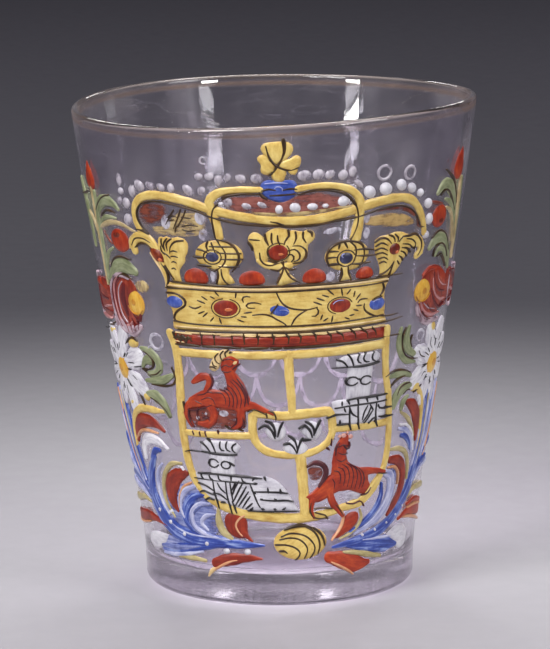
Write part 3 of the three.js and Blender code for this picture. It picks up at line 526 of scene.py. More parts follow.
def drop(angle, height, half_angle, half_height, turn=0, **how):
    """A round or oval dab: half its width is in degrees, half its height in mm, and it may be turned."""
    t = np.linspace(0, 2 * np.pi, 20, endpoint=False)
    x, y = half_angle * sheet_per_degree * np.cos(t), half_height * np.sin(t)
    c, s = math.cos(math.radians(turn)), math.sin(math.radians(turn))
    return dab(np.stack([angle + (c * x - s * y) / sheet_per_degree, height + s * x + c * y], axis=-1), **how)


def drops(rows, **how):
    """Round or oval dabs of one kind, each row holding a place, two half sizes and perhaps a turn."""
    return [drop(*row, **how) for row in rows]


lay_down("lining_left", [
    dab((-41.6, 85.5, -38, 85.6, -34.4, 86, -30.6, 88.6, -26, 89.7, -21, 89.2, -20.6, 86, -21.6, 84.2,
         -30, 83.9, -38.6, 84.2), top=wash_top, grain=0),
], straw, "crown_lining_left", slot="pale_yellow_enamel")
lay_down("lining_centre", [
    dab((-15.6, 92, -12.4, 92.9, -7, 93, -3.6, 92.7, 1, 91.4, 6.6, 92.8, 11, 93.2, 16, 92.9, 20, 91.9,
         22.8, 90.2, 22.6, 89.3, 12, 88.6, 2, 88.4, -6, 89, -13.4, 90.2), top=wash_top, grain=0),
], rose_wash, "crown_lining_centre", slot="pink_enamel")
lay_down("lining_right", [
    dab((27.2, 86.4, 30, 86.9, 34, 87.1, 38, 86.9, 42, 86.2, 45, 85.1, 46.4, 84.2, 44, 83.7, 40, 83.8,
         35, 84.2, 30, 84.8, 27, 85.4), top=wash_top, grain=0),
], ochre, "crown_lining_right", slot="ochre_enamel")
lay_down("lining_foot", [
    brushed((-7, 89.3, 0, 88.9, 8, 88.9, 16, 89.3, 22.4, 89.6), 0.8, 1.2, 1.2, 1, 0.6, top=0.24),
], straw)
lay_down("lining_rust", [
    dab((-43.6, 87, -43.2, 89.2, -41, 90.7, -37.6, 91, -34, 90.6, -33, 89, -34.6, 87.2, -38, 86.2,
         -41.8, 86.1), top=0.14, grain=0),
    brushed((30.6, 87.9, 35, 88.1, 40, 87.8, 43, 87, 45.6, 85.8), 0.5, 0.9, 1, 0.6, top=0.2),
    brushed((47.2, 84.4, 48, 83.4, 49.4, 82.8), 0.9, 0.8, 0.4, top=0.3),
], rust)
lay_down("lining_clouds", [
    *drops([
        (-22, 88.2, 2.2, 1.7), (-21.2, 84.4, 1.9, 1.5), (27.7, 86.6, 1.3, 1.2), (28, 83.4, 1.2, 1.4),
        (-33.5, 86.8, 2, 2),
    ], top=0.2),
    *drops([
        (17, 84.6, 3, 0.7, 10), (-19.2, 75.4, 0.9, 1.6), (17, 74.6, 1.6, 1.2), (-36.6, 76, 0.5, 0.6),
    ], top=0.1),
], milk)
lay_down("lining_hatching", lines(
    0.42,
    (-33.6, 86.4, -31.6, 88.6, -30.4, 89.8), (-31, 85.6, -29, 88.4, -28.2, 90),
    (-29.6, 86, -27.2, 88.6, -26.6, 89.8), (-28, 86.2, -25, 86.6, -23, 86.4),
    (-28, 85.5, -26, 85.2, -24, 85.4), (-33, 88, -31, 88.5, -29.6, 88.2), (-28, 88.2, -25, 88.1),
    (-32.6, 87.2, -30.6, 87.6), (-30.6, 84.8, -30, 86.2), top=0.26,
), ink)


# Leaves at the ends of the crown
# Yellow acanthus leaves with a hooked tip, split into lobes by short curved veins, with a dark red bead in
# each and a cream line down the outer side of the left one.
cream = enamel("cream_enamel", (238, 216, 166), (222, 192, 138), (188, 146, 92))
line_width = 0.54
lay_down("crown_leaf_left_paint", [
    dab((-37.3, 82.8, -36.4, 83.7, -35.2, 83.3, -34, 83.8, -32.4, 83.3, -30, 83.8, -27.6, 83.4, -26.5, 82.2,
         -27, 80.4, -28, 79.2, -28, 78.2, -29.4, 77.2, -30.5, 76, -30.2, 74.6, -29.8, 73.6, -33, 73.6,
         -34.6, 75.6, -36.2, 78, -37.6, 80.6), curved=False),
    brushed((-47.4, 79.5, -48, 81.2, -46, 82.6, -42.4, 82.9, -39.6, 81.8, -38.4, 80.4), 2, 2.5, 2.6, 2.5,
            1.8),
    brushed((-38.8, 80.4, -36.8, 77.6, -35.6, 75, -35.4, 73.2), 1.8, 1.4, 1.3, 1),
], yellow, "crown_leaf_left", slot="yellow_enamel")
lay_down("crown_leaf_right_paint", [
    dab((31, 81.5, 33, 82.3, 36, 82.4, 38.4, 82.8, 41, 82.6, 43.6, 81.8, 44.8, 80, 44.6, 78.4, 44.4, 77.2,
         42.6, 76.7, 41.4, 75.2, 39.6, 73.8, 38.4, 73.4, 33.4, 73.6, 33.6, 74.8, 33, 76.4, 31.8, 77.8,
         31, 79.8), curved=False),
    brushed((41.6, 80.3, 45, 80.2, 48.4, 79.9, 50.2, 78.8, 49.6, 77, 48.4, 76.7), 3.8, 3.4, 2.8, 2.4, 2.2,
            1.6),
], yellow, "crown_leaf_right", slot="yellow_enamel")
lay_down("crown_leaf_veins", lines(
    line_width,
    (-48.2, 80.8, -46.4, 82.4, -43, 82.7, -40.2, 82), (-46.8, 80.4, -44.6, 81.4, -42, 81.4, -40.4, 80.7),
    (-35.8, 83, -35.8, 81.9, -35, 80.7), (-33.8, 83.2, -35, 82, -34.7, 80.4),
    (-32.4, 83.2, -34, 82.1, -33.8, 80.6), (-28.2, 83, -31, 82.6, -32.7, 81.3, -33, 80),
    (-32.8, 80.3, -31.8, 80.6, -30.4, 80.4), (-32.8, 79.2, -31.8, 79.4, -30.4, 79.2),
    (-32.6, 78, -31.9, 78.2, -31, 77.9), (-32.8, 76.5, -32, 76.7, -31.4, 76.4),
    (-35.2, 80, -33.8, 79.4, -33, 78.8), (-36.6, 77.4, -35, 75.8, -34.7, 74, -35.3, 72.6),
    (-35.4, 77, -34, 75.6, -32.6, 74.2), (-36.2, 81.4, -36, 80.4, -35, 79.6),
    (31.2, 81.1, 33, 81.8, 35.4, 81.5, 37, 80.4), (31.5, 80.2, 33.4, 80.8, 35.6, 80.1),
    (31.5, 79.3, 33.4, 79.7, 35.7, 79), (31.8, 78.4, 33.6, 78.7, 35.8, 78), (32.8, 77.4, 34.6, 77.6, 36, 77),
    (33.3, 76.4, 34.6, 76.7, 35.6, 76.3), (36.2, 82.3, 37.8, 81.7, 38.3, 80.7),
    (38.4, 82.2, 39.5, 81.4, 39.4, 80.6), (43, 80.9, 45.4, 80.5, 47, 79.5, 46.9, 78.4),
    (41.6, 79.9, 44, 79.6, 46, 78.7), (41.3, 79.1, 43.6, 78.8, 45.2, 77.8),
    (41, 78.4, 42.6, 77.9, 43.6, 77.1), (40.4, 77.4, 41.6, 76.9, 42.2, 76.3), (39.8, 76.4, 40.8, 75.6),
    (38.5, 76.4, 37, 75, 35, 74.1, 32.4, 73.5), (38.5, 76.2, 37.7, 74.8, 37.1, 73),
) + lines(
    0.66,
    (40, 80.6, 41.4, 81.5, 43.6, 81.4, 46.6, 81.6, 48.6, 80.6, 49.8, 79.4, 49.8, 77.9, 48.6, 76.8),
), ink)
lay_down("crown_leaf_edge", lines(
    0.42,
    (-40.6, 79.6, -38.6, 77.5, -36.6, 75.5, -35.7, 73.4, -36, 71.9), (-49.4, 80, -49, 82, -47, 83.4), top=0.4,
), cream)


# Discs on stalks
# Two striped balls of the crown, left and right of the middle: yellow rounds on short flared stalks, ruled
# across with dark lines and shaded round their outer side.
lay_down("crown_disc_left_paint", [
    drop(-17, 80, 7.5, 3.4),
    brushed((-15.9, 78, -15.7, 75.6, -15.2, 73.6), 2.6, 2.2, 3.8, square=True),
], yellow, "crown_disc_left", slot="yellow_enamel")
lay_down("crown_disc_right_paint", [
    drop(22, 78.9, 7.2, 3.3),
    brushed((21.4, 77, 21.5, 75.4, 21.7, 73.6), 1.8, 1.5, 3, square=True),
], yellow, "crown_disc_right", slot="yellow_enamel")
lay_down("crown_disc_lines", lines(
    line_width,
    (-23.6, 81.3, -22, 81.1, -20.2, 80.5), (-19.6, 82, -15.6, 82, -12, 82),
    (-18, 80.7, -14, 80.5, -10.2, 80.5), (-16.4, 79.2, -13, 79.2, -9.6, 79.2),
    (-17, 77.6, -13, 77.5, -11, 77.6), (-20.2, 83, -20.6, 82, -20, 81), (-19, 82.8, -18.4, 81.6, -18, 80.8),
    (-16.4, 82.4, -15, 81, -14.8, 79.4, -15.6, 78, -17.6, 76.9),
    (-17, 83.6, -14, 83, -11.8, 81.6, -10.8, 79.7, -11.6, 77.8, -13, 76.5), (-20, 77, -18.6, 76.6, -17.4, 77),
    (-17.6, 76.8, -17.4, 75.4, -18.2, 73.8), (-16.4, 77, -16.2, 75.4, -15.2, 74.1, -13.8, 73.4),
    (16, 80.1, 17.6, 80.1, 19, 80), (15.6, 78.7, 17.4, 78.8, 18.8, 78.7), (24, 80, 27.4, 80, 30.6, 79.6),
    (24.8, 78.7, 28, 78.5, 31, 78.4), (23, 77, 27, 76.9, 29.8, 77),
    (16.2, 77, 15.4, 78.8, 16.2, 80.6, 18.2, 81.6, 21, 82.1, 24, 81.9, 26.4, 81.2, 27.4, 79.6, 27, 77.4,
     25.8, 76.1),
    (19.4, 81.7, 19, 80.6), (20.8, 82, 21.8, 80.6), (22.8, 81.8, 24.4, 80.6, 24.6, 78.8, 23.6, 77.2),
    (20.2, 76.3, 20.5, 75, 19.8, 73.6), (22.2, 76.6, 22.5, 75, 23.6, 73.5),
) + lines(
    0.72,
    (-25, 79.6, -23.2, 79.5, -21.2, 79.5), (-23.8, 77.8, -22, 77.7, -19.6, 77.6),
    (16.4, 77.2, 18, 77.3, 19.8, 77.1),
), ink)


# Fleuron in the middle of the crown
# A yellow flower head of a round middle and two curled petals on a flared stalk, its right side ribbed.
def ring(angle, height, half_angle, half_height, width, top, first=0, last=360):
    """A line round an oval, or along a part of it, from one angle to another in degrees, a point every 24."""
    steps = max(4, round(abs(last - first) / 24))
    t = np.radians(np.linspace(first, last, steps))
    path = np.stack([angle + half_angle * np.cos(t), height + half_height * np.sin(t)], axis=-1)
    return brushed(path, 0.8 * width, width, 0.8 * width, top=top, foot=0)


lay_down("crown_fleuron_paint", [
    dab((-8, 83.5, -7.4, 84.7, -6, 85.2, -4.4, 84.7, -3, 83.6, -2, 82.4, -1.6, 80.6, -2.4, 78.6, -3.6, 77.7,
         -5.2, 78.3, -6, 79.6, -6.3, 81, -6.9, 82.2), grain=100),
    dab((-2.8, 83.6, -3, 84.6, -1.4, 85.6, 0.6, 86, 2.6, 85.8, 4.4, 85.1, 5.4, 84, 5, 81.6, 4.4, 79.4,
         2, 78.2, -1, 78.6, -2.6, 80.4)),
    dab((3.4, 83.2, 4.2, 85.3, 6.2, 85.2, 8, 84.9, 9.6, 85.3, 11.2, 84.8, 11.8, 83.8, 11, 82.6, 9.8, 82,
         9.6, 79.8, 8, 78.2, 5.4, 77.4, 3.2, 78.6, 2.8, 81), grain=70),
    brushed((-5, 78.9, -3, 77.9, 0.6, 77.4, 4.4, 77.6), 1, 1.7, 1.7, 1.4),
    brushed((2.4, 77.8, 2.7, 75.8, 3.5, 73.6), 1.8, 1.9, 4.4, square=True),
], yellow, "crown_fleuron", slot="yellow_enamel")
lay_down("crown_fleuron_lines", lines(
    line_width,
    (-4.6, 80.6, -4.3, 79, -3, 78, -1, 77.8, 0.8, 78.3), (-1.4, 76.9, 1, 76.6, 2.4, 77.4, 4.4, 76.6, 6, 76.8),
    (5.2, 81.9, 7.4, 81.8, 9, 80.7, 8.8, 79.1, 7.4, 78.2, 5.4, 78.1),
    (3.8, 80.9, 5.8, 81.1, 7.2, 80, 7, 78.9, 5.6, 78.5), (3.8, 80, 5, 80, 5.5, 79.2, 4.8, 78.5),
    (-3, 84.7, -2.8, 83.6, -2, 82.3), (-1, 84.8, -1.1, 83.4, -0.7, 82.3), (0.7, 84.3, 0.8, 83.2, 1.4, 82.2),
    (3.8, 85.4, 4, 84.2, 3, 83.2, 2.6, 82.3), (5.9, 84.9, 6.1, 83.5, 5.4, 82.3),
    (8.2, 84.8, 8.1, 83.6, 9, 82.5), (9.6, 85, 10.6, 84.6, 10.8, 83.8),
    (2.1, 78.8, 2.4, 77.4, 1.8, 75.8, 0.4, 73.9), (1.7, 78.8, 2.8, 77, 4.4, 75, 7.4, 73.7),
    (-8, 83, -7, 82.1, -6.8, 81.2), (-7.4, 83.6, -4.6, 83.4), (-2.2, 80.6, -1.6, 79.1, 0.3, 78.4, 2, 79.1),
), ink)
lay_down("fleuron_light", [ring(0.6, 80.4, 3, 2, 0.36, 0.42, 200, 310)], cream)


# Velvet caps of the crown
# Four red domes that show between the stalks. Each is one thick dab of red enamel, round on top and flat
# below, where it meets the circlet.
red = enamel("red_enamel_paste", (196, 80, 32), (160, 46, 15), (108, 20, 6), gloss=0.32)
cap_foot, cap_below = 73.6, 73.4
for number, (middle, half_angle, rise) in enumerate(
        [(-24.9, 4, 3.4), (-7.2, 3.9, 3.1), (11.8, 3.6, 3.1), (28.2, 3, 2.5)], start=1):
    shoulder, hem = cap_foot + 0.7 * rise, cap_foot + 0.1 * rise
    cap = (middle - half_angle, hem, middle - 0.84 * half_angle, shoulder, middle, cap_foot + rise,
           middle + 0.84 * half_angle, shoulder, middle + half_angle, hem, middle, cap_below)
    lay_down(f"velvet_cap_{number}", [dab(cap, power=3)], red, f"crown_cap_{number}", slot="red_enamel")


# Circlet of the crown
# A broad yellow band, ruled along both edges with double dark lines that leave a cream strip between them.
# Fine strokes ray out round each jewel, and loose curves hang between the jewels.
lay_down("circlet", [
    dab((-35.8, 73.4, -20, 73.3, 0, 73.1, 20, 73.1, 37.4, 73.4, 37.4, 72.2, 36.5, 71.2, 36.1, 70, 36.2, 68.6,
         36.7, 66.8, 36.6, 65.4, 37.2, 64, 38.2, 63, 20, 62.8, 0, 62.6, -20, 62.7, -34.8, 62.8, -34.8, 64,
         -34.5, 65.6, -34.6, 67, -35.6, 68.4, -36.1, 70, -35.9, 71.4), curved=False, power=12, grain=0),
], yellow, "crown_circlet", slot="yellow_enamel")
lay_down("circlet_strips", lines(
    0.72,
    (-35, 72.7, -12, 72.5, 10, 72.5, 36.8, 72.7), (-33.4, 63.5, -12, 63.5, 10, 63.4, 36.8, 63.9),
    (-30, 62.3, -12, 62.4, 10, 62.3, 37, 62.5), top=0.38,
), cream)
lay_down("circlet_rules", lines(
    0.62,
    (-33.6, 73.6, -20, 73.3, -10, 73.1, 0, 73.1, 20, 73.1, 37, 73.3),
    (-35.9, 72.1, -26, 72.2, -12, 72, 0, 71.9, 14, 72, 30, 72, 36.8, 72.2),
    (-34.2, 64.7, -28, 64.4, -14, 64.3, 0, 64.2, 12, 64.2, 24, 64.5, 36, 64.9),
    (-32.8, 62.8, -20, 62.8, -8, 62.9, 6, 62.7, 20, 62.9, 34, 63.2, 38, 63.3), top=0.46,
) + lines(
    0.3,
    (36, 73.3, 42.6, 73.4), (34, 64.8, 38, 64.5, 42.2, 64.7), (36, 63.3, 40, 63.4, 44.4, 63.8), top=0.36,
), ink)
lay_down("circlet_rays", lines(
    0.55,
    (-23.2, 70.7, -21.6, 70), (-20.4, 70.8, -19.2, 70.4), (-24.8, 69.8, -22.4, 69.2),
    (-27.8, 68.3, -26, 67.9, -23.8, 68.5), (-24.8, 66.8, -22.8, 67.4), (-23.3, 66.2, -21.8, 67.1),
    (-20.9, 65.3, -19.8, 66.1), (-17.9, 66, -17.4, 64.8), (-18.8, 71.9, -17.7, 71),
    (-12.1, 71.9, -12.4, 70.7), (-9.8, 67.3, -7.6, 67.5), (-10.8, 66.5, -9.3, 66.4), (-12, 65.8, -10.1, 65.3),
    (11.7, 69.3, 14.1, 68.6), (12.7, 70.1, 14.9, 69.5), (14.4, 70.7, 16.3, 70.2), (15.7, 72, 17.9, 70.6),
    (20.4, 71.7, 20.8, 70.3), (23.4, 71.4, 22.3, 70.5), (24.9, 70.9, 24.6, 69.8), (26.8, 70.2, 25.5, 69.1),
    (26.2, 68.4, 27, 69, 29.4, 69), (25.8, 67.7, 27.6, 67.7), (24.9, 66.9, 26.4, 66.6),
    (23.7, 65.7, 25, 65.8), (22.1, 65.3, 23.5, 64.9), (17.9, 65.9, 17.6, 64.7), (15, 65, 16.3, 65.5),
    (14.5, 66.3, 14, 65.3), (34.9, 72, 35.6, 70.9, 35.1, 69.9, 34.3, 69.4),
    (-4.6, 69.3, -6.6, 69.6, -8.6, 69.4, -9.2, 68.8, -8.4, 68.4, -6.6, 68.4),
    (-8, 70.9, -9.6, 71, -10.3, 70.4, -10, 69.7), (12.7, 67.9, 13.3, 67, 12.4, 66.2, 11.2, 66.2),
) + lines(
    0.6,
    (-36, 70.9, -33, 71, -30.6, 70.5, -29, 69.4, -29.4, 68.4, -31.6, 67.4, -33.4, 66.4, -34, 65.2,
     -33.6, 64.8),
    (0.2, 71.7, 1, 70.4, 2, 69.3, 4, 68.3, 7, 67.8, 10, 67.7, 12.8, 68.1),
    (-7.2, 66.8, -4.6, 67, -2, 66.7, 0.4, 65.7, 2.2, 65, 3.4, 64.2),
    (4.7, 64.3, 5.6, 65.6, 7.4, 66.8, 9.6, 67.6), (28.5, 67.9, 28.4, 67, 29.6, 66, 31.4, 65.3, 33.8, 64.7),
), ink)


# Jewels of the crown
# Rubies and sapphires in a second coat on the yellow, with a dark red bead on each leaf: domed drops, most of
# them with a dark line round them and a small lilac or orange light on top.
second_coat = 0.6
jewel = {"foot": 0.15, "top": second_coat, "power": 3.0}
night = enamel("dark_blue_enamel", (92, 96, 134), (52, 52, 84), (24, 22, 44))
deep_red = enamel("deep_red_enamel", (172, 62, 30), (134, 34, 12), (86, 14, 6), gloss=0.32)
dusk = enamel("dark_red_enamel", (170, 84, 36), (112, 34, 16), (62, 14, 8))
for name, angle, height, half_angle, half_height, turn in [
    ("circlet_ruby_left", -15.7, 68.3, 4.7, 2.15, 0), ("circlet_ruby_right", 20.2, 68.1, 4.2, 1.85, 0),
    ("fleuron_ruby", 0.9, 80.7, 3.2, 1.95, 0), ("circlet_sapphire_left", -33, 69, 3.3, 1.4, 0),
    ("circlet_sapphire_centre", 1.1, 67.7, 3.7, 1.4, -14),
    ("circlet_sapphire_right", 33.1, 67.6, 3.2, 1.5, 0),
    ("disc_sapphire_left", -18.9, 79.7, 2.5, 1.35, 0), ("disc_sapphire_right", 21.5, 78.4, 2.6, 1.5, 0),
]:
    stone = "red" if "ruby" in name else "blue"
    paste = deep_red if stone == "red" else night if "disc" in name else blue
    shape = drop(angle, height, half_angle, half_height, turn, **jewel)
    lay_down(f"{name}_drop", [shape], paste, name, slot=f"{stone}_enamel")
lay_down("leaf_rubies", drops([(-38, 79.3, 3.3, 1.3, -48), (38.4, 79.1, 2.5, 1.5)], **jewel), dusk)
lay_down("jewel_rings", [
    ring(-15.7, 68.3, 4.6, 2.15, 0.42, 0.5, 100, 430), ring(20.2, 68.1, 4.1, 1.85, 0.42, 0.5, 20, 250),
    ring(0.9, 80.7, 3.3, 2, 0.4, 0.5, 60, 400), ring(-33, 69, 3.7, 1.65, 0.42, 0.5, -60, 60),
    ring(21.5, 78.4, 2.9, 1.75, 0.5, 0.5, 20, 360), ring(-18.9, 79.7, 2.8, 1.6, 0.5, 0.5),
    *lines(0.5, (-1.6, 67.1, -0.6, 68, 0.5, 69.1), top=0.68),
    *lines(0.5, (31.4, 68.5, 33, 68.9, 34.8, 69.1), top=0.62),
], ink)
lay_down("jewel_lights", [
    ring(20.2, 68.2, 2.5, 1.1, 0.36, 0.66, 70, 160), ring(33, 67.9, 1.4, 0.6, 0.5, 0.68, 60, 150),
    ring(20.7, 79, 0.7, 0.4, 0.5, 0.7, 90, 240), ring(1.8, 67.4, 2, 0.5, 0.34, 0.68, 0, 110),
], lilac)
lay_down("ruby_lights", drops([
    (-14.8, 68, 1.7, 0.5), (1.6, 80.2, 1.2, 0.4), (39.2, 78.4, 0.9, 0.5), (-36.8, 78.3, 1, 0.5, -40),
], top=0.7, foot=0.3), enamel("orange_enamel", (226, 150, 96), (204, 112, 66), (168, 74, 36)))


# Pearls over the crown
# White enamel dropped from the tip of the brush so that each dot stands up like a bead, and rings where a
# dot was only outlined. The row on the left and the one behind the orb are thinner and greyer.
white = enamel("white_enamel_paste", (228, 225, 231), (207, 204, 211), (162, 156, 171))
grey = enamel("thin_white_enamel", (206, 200, 208), (178, 170, 180), (140, 130, 144), cover=0.85, streak=0.4)
lay_down("pearls", drops([
    (28.3, 92.2, 2.4, 1.2, -55), (33.8, 92.4, 2.5, 1.3, -45), (39.4, 92.8, 2.3, 1.1, -50),
    (43.6, 91.8, 2.1, 1, -45), (47.4, 90.4, 1.6, 0.9, -30), (51.7, 87.7, 2.1, 1.1, -30),
    (53, 84.2, 2.1, 1.2, -60), (52, 80.9, 1.6, 0.9, 0), (1.2, 90, 1.3, 1.2, 0), (5.8, 90.2, 2.1, 1.1, -50),
    (10.8, 90.2, 1.9, 0.9, -10), (14.6, 90.2, 1.2, 0.6, 0), (20, 90.8, 2, 1.2, 0), (-15.4, 91.4, 1, 0.5, 10),
], top=0.75, power=2.0), white)
lay_down("grey_pearls", drops([
    (-45.4, 93.2, 1.5, 1.5, 0), (-42.2, 94.6, 1.8, 1.4, 40), (-37.9, 94.8, 1.4, 1.3, 60),
    (-34.2, 94.7, 1.3, 1.2, 40), (-30.8, 94.6, 1.2, 1.2, 0), (-25.2, 94.3, 2.4, 0.9, -55),
    (-21, 94.2, 1.3, 1.2, 0), (-21.6, 97.4, 1.4, 0.9, 20), (-18.4, 97.5, 1.5, 1, 0),
    (-15.8, 96.7, 1.3, 1.3, 0), (-13.2, 97.3, 1.1, 1.1, 0), (-9.4, 97, 1.8, 0.9, -50),
    (-5, 96.9, 1.8, 1.1, -40), (8.4, 97, 2.1, 1.2, -20), (12.4, 97, 1.8, 1.2, 0), (15.8, 96.9, 1.5, 1.1, -30),
    (19.6, 96.5, 1.5, 1.2, 0), (22.6, 97, 1.2, 1.3, 0), (24.6, 94.3, 2.2, 0.6, -50),
    (-13.4, 91.7, 1.5, 1.2, 0), (-8, 90.9, 1.9, 0.8, -30), (-3.6, 91.1, 2, 0.7, -35),
    (-48.8, 86.4, 2, 1.5, -20), (-48.6, 90.2, 1.7, 1.3, 0), (-51.6, 90.6, 1.5, 1.1, 20),
    (-50.6, 95.4, 1.1, 1.6, 0), (-50.4, 92.8, 1.3, 0.9, 0),
], top=0.5, power=2.4) + [
    ring(32.8, 96, 2.2, 1.5, 0.75, 0.4), ring(42.2, 95.2, 1.9, 1.4, 0.7, 0.36),
    ring(-20, 101, 1, 0.8, 0.4, 0.3, 0, 300),
], grey)


# Bar under the crown
# Red enamel in a row of short presses of the brush, parted by dark slanting ticks, over a dark rule that
# breaks off in places. A dark scribble crosses its left end, and short cream lights lie along its upper edge.
lay_down("bar", [
    brushed((-34.2, 60.8, 0, 60.7, 36.8, 60.9), 2.6, square=True, wobble=0.02),
], deep_red, "chief_band", slot="red_enamel")
end_gap = 0.5
lay_down("bar_blocks", [
    brushed((first + end_gap, 60.9, last - end_gap, 60.9), 1.7, 1.9, 1.7, top=0.5, foot=0.2)
    for first, last in [
        (-27.6, -24.4), (-24.2, -20.2), (-20, -14.2), (-13.8, -10.4), (-10, -6), (-5.6, -1.2), (-0.6, 3.6),
        (4, 7.6), (8, 12.4), (13, 17.2), (17.8, 21.4), (22, 25.6), (26.2, 30), (30.6, 33.4),
    ]
], deep_red)
lay_down("bar_lines", lines(
    0.7,
    (-34.4, 59.4, -30, 59.5, -25.6, 59.4), (-24.4, 59.4, -18, 59.5, -11.6, 59.3), (-10.4, 59.3, -2.9, 59.4),
    (-1.8, 59.3, 1.5, 59.3), (2.6, 59.3, 20, 59.5, 36.6, 59.8), top=0.42,
) + lines(
    0.54,
    (-24.8, 62.4, -24.3, 61, -24.6, 60), (-20.4, 62.2, -20, 61, -20.2, 60), (-14.2, 61.8, -14, 60.2),
    (-10.4, 62.5, -10.2, 60.3), (-6.1, 62.6, -5.7, 61, -6, 60.2), (-1.4, 62.7, -0.8, 61.4, -1, 60.3),
    (2.6, 62.8, 3.9, 61.6, 3.7, 60.3), (6.8, 62.6, 7.8, 61.4, 7.4, 60.4), (11, 62.8, 12.4, 62, 12.6, 60.6),
    (16.2, 62.5, 17.6, 61.4, 17.4, 60.4), (19.4, 62.4, 21.4, 61.5, 21.8, 60.6),
    (23.8, 62.8, 25.8, 61.5, 26, 60.6), (27.6, 62.8, 29, 62, 30.2, 61.3, 30.4, 60.6),
    (32, 62.5, 33.2, 61.6, 33.6, 60.6), (-32.6, 61, -30, 60.8, -28, 61.2), top=0.56,
) + lines(
    0.85,
    (-35, 62, -34, 60.6, -33, 61.8, -32.4, 60.1, -31.2, 61.7, -30.4, 60.1, -29.2, 61.5, -28.2, 60.5),
    (-34.6, 60.9, -32, 61.2, -29.6, 60.9), top=0.58,
) + lines(0.3, (36, 59.9, 44.8, 59.9), top=0.36), ink)
lay_down("bar_lights", lines(
    0.4,
    (-34, 62.1, -28, 62), (-18, 62, -14.6, 62.1), (-9.8, 62.1, -6.6, 62), (-5, 62.1, -1.8, 62.1),
    (0, 62, 2.6, 62.1), (13.4, 62.1, 16, 62), (-34.4, 60.2, -31, 60), top=0.5,
), cream)


# Frame of the shield
# Broad yellow strokes: the rounded shield, two bars that quarter it and an oval in the middle, where the
# strokes run into each other.
lay_down("frame", strokes([
    ((-36.6, 61.8, -34.9, 58, -34.7, 55, -35, 50.2, -35.8, 44.6, -36.2, 38, -35.8, 33.8, -35, 31, -33.4, 28.4,
      -30.4, 25.8, -26, 23.8, -21, 22.6, -13, 21.4, -4, 20.7, 4, 20.4, 11, 20.4, 18, 21, 25, 22, 31, 22.7,
      35.6, 23.9, 39, 25.4, 41.6, 27.4, 43.6, 29.8, 44.5, 33, 44.2, 38, 43.2, 42, 41.9, 46.5, 39.9, 51,
      38.7, 56, 38.3, 61.6), first_coat, 2, 2.3, 2.3, 2.2, 2.4, 2.4, 1.9, 2, 2, 1.9, 2),
    ((-34.8, 57.6, 0, 57.7, 20, 57.9, 38.4, 58.4), first_coat, 1.9, 1.9, 2.2),
    ((3.8, 57.8, 4.2, 52, 4.8, 48, 5.1, 44.6), first_coat, 2.1, 1.8),
    ((-36, 39.1, -28, 39.1, -18, 39.2, -9.4, 39.4), first_coat, 1.5, 1.6, 1.8),
    ((-8.6, 44, -8.9, 41, -8.2, 38.4, -5.6, 36.4, -2, 35.4, 2, 35, 6, 34.9, 11, 35.2, 15, 36.1, 18, 37.4,
      19.6, 39.4, 19.6, 42, 18.4, 44.3, 14, 44.4, 8, 44.2, 2, 43.9, -3, 44.2, -7.8, 44.5), first_coat, 2.1,
     1.9, 1.7, 1.8, 2.3, 2.2, 1.8),
    ((19.4, 40.4, 27, 40.3, 35, 40.2, 43.6, 40.4), first_coat, 1.7),
    ((8, 35, 8.6, 32.6, 9.1, 29, 9.8, 25, 10.4, 21), first_coat, 2.6),
    ((24.4, 22, 29, 22.1, 33.8, 22.8, 37.4, 24.6, 41, 27, 43.2, 29.6), 0.38, 1.4, 1.7, 2, 2.8, 2.6, 1.6),
]), yellow, "shield_frame", slot="yellow_enamel")


# Castles
# White enamel laid over the frame: a tower with a notched top on a long striped mount, drawn in with a fine
# black brush.
over = {"foot": 0.1, "top": 0.5}
slab = {"curved": False, "power": 9, **over}
black = enamel("black_line", (50, 44, 46), (24, 20, 24), (10, 8, 10), gloss=0.3)
lay_down("castle_upper_paint", [
    dab((24, 46.6, 24, 54.6, 33.7, 54.6, 33.4, 46.6), **slab),
    dab((19.8, 54.2, 20, 55.8, 22.4, 56.7, 34.6, 57.1, 36.6, 56, 35.6, 54.8, 33.2, 54.3, 27, 54), **slab),
    dab((18.8, 46.6, 21, 46.9, 40.6, 46.9, 40.8, 41.6, 34, 40.9, 27, 41, 20.8, 41.3), grain=0, **slab),
], white, "castle_upper", slot="white_enamel")
lay_down("castle_lower_paint", [
    dab((-26, 29.8, -26, 35.2, -16.1, 35.2, -16.1, 29.8), **slab),
    dab((-29.1, 35.3, -28.8, 37, -26.6, 38, -15.4, 38, -13.4, 36.8, -14.6, 35.3, -16.2, 34.8, -25.8, 34.9),
        **slab),
    dab((-33.2, 28.8, -32.6, 30.1, -25.8, 30.4, -6, 30.1, -2.6, 29.8, 0.4, 28.7, 2.6, 27.2, 5.2, 24.6, 8, 22,
         -6, 22, -14, 22.1, -22, 23.6, -28, 24.2, -31.8, 26), grain=0, **slab),
], white, "castle_lower", slot="white_enamel")
